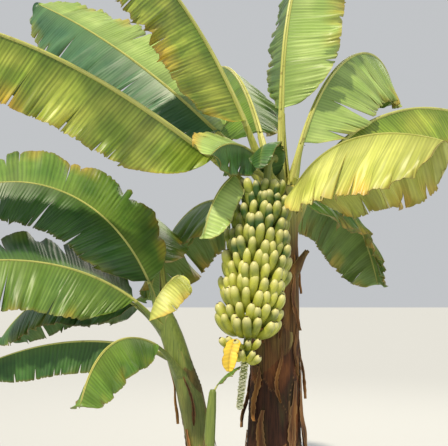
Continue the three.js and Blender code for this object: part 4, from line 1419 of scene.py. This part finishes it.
class HandTree(RoundTree):
    """Geometry Nodes of one hand: two staggered rows of curved fingers on a cushion."""

    SIZES: ClassVar[tuple[str, ...]] = (
        "Finger Length", "Girth", "Rise Start", "Rise Sweep", "First Angle", "Angle Step", "Root Radius",
        "Row Gap", "Ripeness")
    # Girth at a finger's two ends, then from its stem to its blunt scarred tip
    GIRTH: ClassVar[tuple[tuple[float, float], ...]] = (
        (0.0, 0.48), (1.0, 0.22),
        (0.1, 0.54), (0.24, 0.86), (0.45, 1.0), (0.74, 1.0), (0.88, 0.88), (0.94, 0.66), (0.968, 0.36))
    FINGER_STEPS: ClassVar[int] = 19
    EDGE_DEPTH: ClassVar[float] = 0.07
    PICK_SPREAD: ClassVar[float] = 0.42
    CUSHION_STEPS: ClassVar[int] = 28
    CUSHION_HALF_SIZES: ClassVar[tuple[float, float, float]] = (0.011, 0.042, 1.0)
    QUARTER: ClassVar[float] = math.pi / 2.0

    def finger(self, add: Adder, given: Any) -> Socket:
        """Adds the nodes of one finger.

        Args:
            add: adds one node to the tree.
            given: the tree's inputs.

        Returns:
            The finger's geometry, its root at the origin.
        """
        radius = add("Math", {"operation": "DIVIDE", 0: given["Finger Length"], 1: given["Rise Sweep"]})
        start = add("Math", {"operation": "SUBTRACT", 0: given["Rise Start"], 1: self.QUARTER})
        arc = add("CurveArc", {"mode": "RADIUS", "Resolution": self.FINGER_STEPS, "Radius": radius,
                               "Start Angle": start, "Sweep Angle": given["Rise Sweep"]})
        back = add("VectorMath", {"operation": "SCALE", 0: self.around(add, start, radius),
                                  "Scale": -1.0})
        from_root = add("SetPosition", {"Geometry": arc, "Offset": back})
        stood = add("Transform", {"Rotation": (self.QUARTER, 0.0, 0.0), "Geometry": from_root})
        share = add("SplineParameter")
        marked = add("StoreNamedAttribute", {"data_type": "FLOAT", "domain": "POINT", "Name": "along",
                                             "Geometry": stood, "Value": share})
        girth = add("FloatCurve", {"Value": share})
        curve = girth.node.mapping.curves[0]
        for point, place in zip(curve.points, self.GIRTH):
            point.location = place
        for place in self.GIRTH[2:]:
            curve.points.new(*place)
        girth.node.mapping.update()
        # Every other corner of the round outline is drawn in, which gives a finger its faint edges
        parity = add("Math", {"operation": "MODULO", 0: add("InputIndex"), 1: 2.0})
        shrink = add("Math", {"operation": "MULTIPLY_ADD", 0: parity, 1: -self.EDGE_DEPTH, 2: 1.0})
        sized = add("InputPosition")
        for scale in (shrink, add("Math", {"operation": "MULTIPLY", 0: given["Girth"], 1: 0.5})):
            sized = add("VectorMath", {"operation": "SCALE", 0: sized, "Scale": scale})
        ring = add("CurvePrimitiveCircle", {"Resolution": 10, "Radius": 1.0})
        profile = add("SetPosition", {"Geometry": ring, "Position": sized})
        skin = add("CurveToMesh", {"Fill Caps": True, "Curve": marked, "Profile Curve": profile,
                                   "Scale": girth})
        return add("SetMaterial", {"Geometry": skin, "Material": given["Skin"]})

    def row(self, add: Adder, given: Any, finger: Socket, number: int) -> Socket:
        """Adds one row of fingers.

        Args:
            add: adds one node to the tree.
            given: the tree's inputs.
            finger: geometry of one finger.
            number: 0 for the upper row, 1 for the lower, which stands half a step on.

        Returns:
            The row's instances.
        """
        # Fingers stray by a fifth of their step, lean a few degrees and differ in size
        stray, size, chance = (
            add("RandomValue", {"data_type": "FLOAT", 2: low, 3: high, "Seed": seed + number})
            for low, high, seed in ((-0.2, 0.2, 11), (0.88, 1.06, 37), (0.0, 1.0, 41)))
        lean = add("RandomValue", {"data_type": "FLOAT_VECTOR", 0: (-0.14, -0.13, -0.1),
                                   1: (0.14, 0.1, 0.1), "Seed": 23 + number})
        placed = add("Math", {"operation": "ADD", 0: add("InputIndex"), 1: 0.5 * number})
        strayed = add("Math", {"operation": "ADD", 0: placed, 1: stray})
        angle = add("Math", {"operation": "MULTIPLY_ADD", 0: strayed, 1: given["Angle Step"],
                             2: given["First Angle"]})
        level = add("Math", {"operation": "MULTIPLY", 0: given["Row Gap"], 1: 0.5 - number})
        points = add("SetPosition", {"Geometry": add("Points", {"Count": given["Fingers"]}),
                                     "Position": self.around(add, angle, given["Root Radius"], level)})
        heading = add("CombineXYZ", {"Z": angle})
        turn = add("EulerToRotation", {0: add("VectorMath", {"operation": "ADD", 0: heading, 1: lean})})
        fingers = add("InstanceOnPoints", {"Points": points, "Instance": finger, "Rotation": turn,
                                           "Scale": size})
        # Each finger's pick is a random tone plus its hand's painted light, painted shade above and sun
        # below
        pick = add("Math", {"operation": "MULTIPLY_ADD", 0: chance, 1: self.PICK_SPREAD,
                            2: given["Ripeness"]})
        return add("StoreNamedAttribute", {"data_type": "FLOAT", "domain": "INSTANCE", "Name": "pick",
                                           "Geometry": fingers, "Value": pick})

    def cushion(self, add: Adder, given: Any) -> Socket:
        """Adds the cushion that joins the fingers: a tall bead bent round the stalk.

        Args:
            add: adds one node to the tree.
            given: the tree's inputs.

        Returns:
            The cushion's geometry.
        """
        span = add("Math", {"operation": "MULTIPLY", 0: given["Angle Step"], 1: given["Fingers"]})
        inner = add("Math", {"operation": "MULTIPLY", 0: given["Root Radius"], 1: 0.95})
        arc = add("CurveArc", {"mode": "RADIUS", "Resolution": self.CUSHION_STEPS, "Radius": inner,
                               "Start Angle": given["First Angle"], "Sweep Angle": span})
        upright = add("SetCurveNormal", {"mode": "Z_UP", "Curve": arc})
        ring = add("CurvePrimitiveCircle", {"Resolution": 14, "Radius": 1.0})
        tall = add("Transform", {"Scale": self.CUSHION_HALF_SIZES, "Geometry": ring})
        bead = add("CurveToMesh", {"Fill Caps": True, "Curve": upright, "Profile Curve": tall})
        return add("SetMaterial", {"Geometry": bead, "Material": given["Cushion"]})

    def build(self) -> bpy.types.NodeTree:
        """Returns the tree, with named inputs for the hand's sizes and finishes."""
        tree, given = new_tree("banana_hand", {
            "Fingers": "Int", **dict.fromkeys(self.SIZES, "Float"), "Skin": "Material",
            "Cushion": "Material"})
        add = partial(add_node, tree)
        finger = self.finger(add, given)
        parts = [self.row(add, given, finger, number) for number in (0, 1)] + [self.cushion(add, given)]
        real = add("RealizeInstances", {"Geometry": add("JoinGeometry", {0: parts})})
        add("GroupOutput", {0: add("SetShadeSmooth", {"Geometry": real})})
        return tree


class ScarTree(RoundTree):
    """Geometry Nodes of the bunch's bare end: scars of fallen flowers in a close spiral."""

    SIZES: ClassVar[tuple[str, ...]] = ("Length", "Lower Radius", "Radius Gain", "Scar Size")

    def build(self) -> bpy.types.NodeTree:
        """Returns the tree, with named inputs for the number, reach and size of the scars."""
        tree, given = new_tree("flower_scars", {
            "Scars": "Int", **dict.fromkeys(self.SIZES, "Float"), "Finish": "Material"})
        add = partial(add_node, tree)
        index = add("InputIndex")
        share = add("Math", {"operation": "DIVIDE", 0: index, 1: given["Scars"]})
        angle = add("Math", {"operation": "MULTIPLY", 0: index, 1: math.radians(GOLDEN_ANGLE)})
        radius = add("Math", {"operation": "MULTIPLY_ADD", 0: share, 1: given["Radius Gain"],
                              2: given["Lower Radius"]})
        level = add("Math", {"operation": "MULTIPLY", 0: share, 1: given["Length"]})
        placed = add("SetPosition", {"Geometry": add("Points", {"Count": given["Scars"]}),
                                     "Position": self.around(add, angle, radius, level)})
        knob = add("MeshIcoSphere", {"Subdivisions": 2, "Radius": given["Scar Size"]})
        lip = add("Transform", {"Scale": (0.75, 1.3, 0.6), "Rotation": (0.0, -0.5, 0.0),
                                "Geometry": knob})
        turn = add("EulerToRotation", {0: add("CombineXYZ", {"Z": angle})})
        size = add("RandomValue", {"data_type": "FLOAT", 2: 0.6, 3: 1.25, "Seed": 5})
        knobs = add("InstanceOnPoints", {"Points": placed, "Instance": lip, "Rotation": turn,
                                         "Scale": size})
        real = add("SetShadeSmooth", {"Geometry": add("RealizeInstances", {"Geometry": knobs})})
        add("GroupOutput", {0: add("SetMaterial", {"Geometry": real, "Material": given["Finish"]})})
        return tree


@dataclass
class Bunch:
    """The hanging bunch: seven hands on a stalk that arches out of the neck to its bare end."""

    facing: float = -98.0
    girth: float = 46.0
    last_girth: float = 37.72
    angle_step: float = 20.0
    root_radius: float = 28.0
    row_gap: float = 57.5
    stalk_steps: int = 150
    stalk_sides: int = 24
    scars: int = 84
    scar_size: float = 8.5
    scarred_length: float = 225.0
    scar_ring: float = 11.8
    scar_ring_gain: float = 4.0
    scarred_from: float = 1.37
    neck_radius: float = 26.0
    hands_radius: float = 19.0
    bare_radius: float = 16.0
    tip_radius: float = 12.0
    bare_length: float = 230.0
    knob_depth: float = 0.12
    ridge_depth: float = 0.03
    end_rounding: float = 0.55

    def place(self, made: bpy.types.Object, share: float) -> bpy.types.Object:
        """Moves a mesh to its place down the line of hands.

        Args:
            made: an object whose mesh has x out of the bunch and z up the stalk.
            share: share of the way from the first hand to the last.

        Returns:
            The object.
        """
        up = unit(HAND_LINE_TOP - HAND_LINE_END)
        out = level_way(math.radians(self.facing))
        out = unit(out - up * float(out @ up))
        centre = mix(HAND_LINE_TOP, HAND_LINE_END, share) * MM
        axes = np.column_stack([out, np.cross(up, out), up, centre])
        made.data.transform(Matrix([*axes.tolist(), [0.0, 0.0, 0.0, 1.0]]))
        return made

    def hand(self, number: int, tree: bpy.types.NodeTree) -> bpy.types.Object:
        """Builds one hand in its place on the stalk.

        Args:
            number: its number from the top, from 0.
            tree: the hands' Geometry Nodes tree.

        Returns:
            The hand's piece.
        """
        form = HANDS[number]
        last = len(HANDS) - 1
        span = form.last_angle - form.first_angle
        count = round(span / self.angle_step) + 1
        return self.place(run_tree(f"hand_{number + 1}_fruit", tree, {
            "Fingers": count,
            "Finger Length": form.length * MM,
            "Girth": (self.last_girth if number == last else self.girth) * MM,
            "Rise Start": math.radians(form.rise_start),
            "Rise Sweep": math.radians(form.rise_end - form.rise_start),
            "First Angle": math.radians(form.first_angle),
            "Angle Step": math.radians(span / (count - 0.5)),
            "Root Radius": self.root_radius * MM,
            "Row Gap": self.row_gap * MM,
            "Ripeness": form.painted_light,
            "Skin": FRUIT_FINISH.material(),
            "Cushion": CUSHION_FINISH.material(),
        }), number / last)

    def flower_scars(self) -> bpy.types.Object:
        """Builds the pale scars on the bare end, from its tip up to the last hand."""
        return self.place(run_tree("flower_scars", ScarTree().build(), {
            "Scars": self.scars,
            "Length": self.scarred_length * MM,
            "Lower Radius": self.scar_ring * MM,
            "Radius Gain": self.scar_ring_gain * MM,
            "Scar Size": self.scar_size * MM,
            "Finish": SCAR_FINISH.material(),
        }), self.scarred_from)

    def route(self, shares: Array) -> Array:
        """Finds places along the stalk.

        Args:
            shares: shares of its length.

        Returns:
            The places, on a smooth curve through the stalk's route.
        """
        steps = np.linalg.norm(np.diff(STALK_ROUTE, axis=0), axis=1)
        chord = np.concatenate([[0.0], np.cumsum(steps)])
        slopes = np.gradient(STALK_ROUTE, chord, axis=0)
        at = shares * chord[-1]
        k = np.clip(np.searchsorted(chord, at, side="right") - 1, 0, len(chord) - 2)
        gap = (chord[k + 1] - chord[k])[:, None]
        t = (at - chord[k])[:, None] / gap
        return ((2 * t**3 - 3 * t**2 + 1) * STALK_ROUTE[k] + (t**3 - 2 * t**2 + t) * gap * slopes[k]
                + (3 * t**2 - 2 * t**3) * STALK_ROUTE[k + 1] + (t**3 - t**2) * gap * slopes[k + 1])

    def stalk(self) -> bpy.types.Object:
        """Builds the stalk: ridged at the neck, slimmer through the hands, knobbly at its end."""
        shares = np.linspace(0.0, 1.0, self.stalk_steps)
        places = self.route(shares)
        along = unit(np.gradient(places, axis=0))
        side = unit(np.cross(np.array([0.95, -0.31, 0.0]), along))
        other = np.cross(along, side)
        turn = np.linspace(0.0, 2.0 * math.pi, self.stalk_sides, endpoint=False)
        below = (HAND_LINE_END[2] - places[:, 2])[:, None]
        upper = mix(self.neck_radius, self.hands_radius, np.minimum(1.0, shares * 4.4))[:, None]
        lower = mix(self.bare_radius, self.tip_radius, np.clip(below / self.bare_length, 0.0, 1.0))
        knobs = np.sin(turn * 3.0 + places[:, 2:3] * 0.42) * eased(below, 10.0, 60.0)
        ridges = np.sin(turn * 7.0) * (1.0 - eased(below, 0.0, 60.0))
        uneven = 1.0 + self.knob_depth * knobs + self.ridge_depth * ridges
        reach = np.where(below > 0.0, lower, upper) * uneven
        reach[-1] *= self.end_rounding
        rings = (places[:, None] + side[:, None] * (reach * np.cos(turn))[..., None]
                 + other[:, None] * (reach * np.sin(turn))[..., None])
        flat = np.stack(np.broadcast_arrays(shares[:, None] * 1.4, turn * 0.02, 0.0), axis=-1)
        skin = Skin()
        skin.add_tube(rings, (places[0], places[-1]), {"flat": flat})
        return skin.to_object("bunch_stalk_skin", STALK_FINISH)


class LampKind(Enum):
    """Kind of lamp, by Blender's name."""

    SUN = "SUN"
    AREA = "AREA"


@dataclass(frozen=True)
class Lamp:
    """A studio lamp: its kind, its way from the plant's middle in metres, its strength and its size.

    The size is in degrees across for a sun, and in metres for an area lamp.
    """

    name: str
    kind: LampKind
    way: tuple[float, float, float]
    energy: float
    colour: str
    size: float

    def build(self, middle: Vector) -> None:
        """Adds the lamp.

        Args:
            middle: the plant's middle, on which it shines.
        """
        light = bpy.data.lights.new(self.name, self.kind.value)
        light.energy = self.energy
        light.color = linear(self.colour)[:3]
        if self.kind is LampKind.SUN:
            light.angle = math.radians(self.size)
        else:
            light.size = self.size
        lamp = bpy.data.objects.new(self.name, light)
        lamp.location = middle + Vector(self.way)
        lamp.rotation_euler = Vector(self.way).to_track_quat("Z", "Y").to_euler()
        bpy.context.scene.collection.objects.link(lamp)


@dataclass
class Stage:
    """Plain pale floor, soft studio light and the photograph's camera."""

    floor_reach: float = 40.0
    floor_colour: str = "c3c6c8"
    floor_roughness: float = 0.9
    sky_colour: str = "e9ecef"
    sky_strength: float = 0.66
    lit_height: float = 1.8
    lamps: tuple[Lamp, ...] = (
        Lamp("key", LampKind.SUN, (-1.6, -3.2, 5.2), 3.5, "fff1d6", 3.0),
        Lamp("fill", LampKind.AREA, (4.5, -4.0, 2.2), 50.0, "e4edff", 4.0),
        Lamp("rim", LampKind.AREA, (1.5, 5.0, 3.6), 110.0, "fff6e0", 4.0),
    )
    # The photograph's camera: place in metres, degrees up from straight down, and its lens and sensor
    camera_place: tuple[float, float, float] = (-0.242, -4.2, 1.5)
    camera_tilt: float = 94.1
    camera_lens: float = 64.1
    sensor: float = 36.0

    def floor(self) -> None:
        """Adds the pale floor at ground level."""
        far = self.floor_reach
        mesh = bpy.data.meshes.new("pale_floor")
        mesh.from_pydata([(-far, -far, 0.0), (far, -far, 0.0), (far, far, 0.0), (-far, far, 0.0)], [],
                         [(0, 1, 2, 3)])
        material = bpy.data.materials.new("matt_painted_floor")
        material.use_nodes = True
        shader = material.node_tree.nodes["Principled BSDF"]
        shader.inputs["Base Color"].default_value = linear(self.floor_colour)
        shader.inputs["Roughness"].default_value = self.floor_roughness
        mesh.materials.append(material)
        plate = bpy.data.objects.new("pale_floor", mesh)
        bpy.context.scene.collection.objects.link(plate)

    def camera(self) -> bpy.types.Object:
        """Returns the camera at the photograph's viewing angle."""
        lens = bpy.data.cameras.new("photo_view")
        lens.lens = self.camera_lens
        lens.sensor_width = self.sensor
        camera = bpy.data.objects.new("photo_view", lens)
        camera.location = self.camera_place
        camera.rotation_euler = (math.radians(self.camera_tilt), 0.0, 0.0)
        bpy.context.scene.collection.objects.link(camera)
        return camera

    def build(self) -> None:
        """Sets the floor, lights, world and camera."""
        self.floor()
        for lamp in self.lamps:
            lamp.build(Vector((0.0, 0.0, self.lit_height)))
        world = bpy.data.worlds.new("soft_studio")
        world.use_nodes = True
        backdrop = world.node_tree.nodes["Background"]
        backdrop.inputs["Color"].default_value = linear(self.sky_colour)
        backdrop.inputs["Strength"].default_value = self.sky_strength
        scene = bpy.context.scene
        scene.world = world
        scene.view_settings.view_transform = "Standard"
        scene.camera = self.camera()


def write_sizes() -> None:
    """Updates the scene's view layer."""
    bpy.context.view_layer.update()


def main() -> None:
    """Builds the plant from its stems up and sets the stage."""
    logging.basicConfig(level=logging.INFO, format="%(message)s")
    Stage().build()
    pleats = PleatTree().build()
    for rows, leaves in ((PSEUDOSTEM_ROWS, CROWN_LEAVES), (FOLLOWER_ROWS, FOLLOWER_LEAVES),
                         (SHOOT_ROWS, SHOOT_LEAVES)):
        for form in leaves:
            finish_piece(Leaf(form, rows).build(pleats), "leaf_blade", *form.nodes())
    crown, follower = (tuple((leaf.sector, leaf.height) for leaf in leaves)
                       for leaves in (CROWN_LEAVES, FOLLOWER_LEAVES))
    for stem in (
        SheathedStem("pseudostem", PSEUDOSTEM_ROWS, TRUNK_FINISH, "stem_sheath", crown, 13,
                     (1500.0, 2050.0), 3),
        SheathedStem("follower_stem", FOLLOWER_ROWS, FOLLOWER_FINISH, "green_sheath", follower, 7,
                     (100.0, 1150.0), 5, columns=112, edge_height=4.0),
        SheathedStem("shoot_stem", SHOOT_ROWS, FOLLOWER_FINISH, "green_sheath", ((180.0, 700.0),), 3,
                     (-300.0, 120.0), 7, columns=72, edge_height=2.5, neck_drop=20.0),
    ):
        finish_piece(stem.build(), stem.slot, stem.name)
    for part, slot, node in (
        (SheathMouths("pseudostem", PSEUDOSTEM_ROWS, CROWN_LEAVES + OLD_PETIOLES, THROAT_FINISH,
                      (1600.0, 2060.0)), "stem_sheath", "pseudostem"),
        (SheathMouths("follower", FOLLOWER_ROWS, FOLLOWER_LEAVES, FOLLOWER_FINISH, (300.0, 1200.0),
                      drop=330.0), "green_sheath", "follower_stem"),
        (DryStrips("pseudostem", PSEUDOSTEM_ROWS, (330.0, 1900.0), 38, 9), "stem_sheath", "pseudostem"),
        (DryStrips("follower", FOLLOWER_ROWS, (300.0, 1220.0), 10, 4, widest=20.0, loosest=26.0),
         "green_sheath", "follower_stem"),
    ):
        finish_piece(part.build(), slot, node)
    bunch = Bunch()
    finish_piece(bunch.stalk(), "bunch_stalk", "bunch_stalk")
    finish_piece(bunch.flower_scars(), "bunch_stalk", "bunch_stalk")
    for rows, form in ((PSEUDOSTEM_ROWS, STALK_BRACT), (BUNCH_ROWS, WITHERED_BRACT)):
        finish_piece(Leaf(form, rows).build(pleats), "leaf_blade", "bunch_stalk")
    hand_tree = HandTree().build()
    for number in range(len(HANDS)):
        finish_piece(bunch.hand(number, hand_tree), "green_fruit", f"hand_{number + 1}")
    write_sizes()


if __name__ == "__main__":
    main()
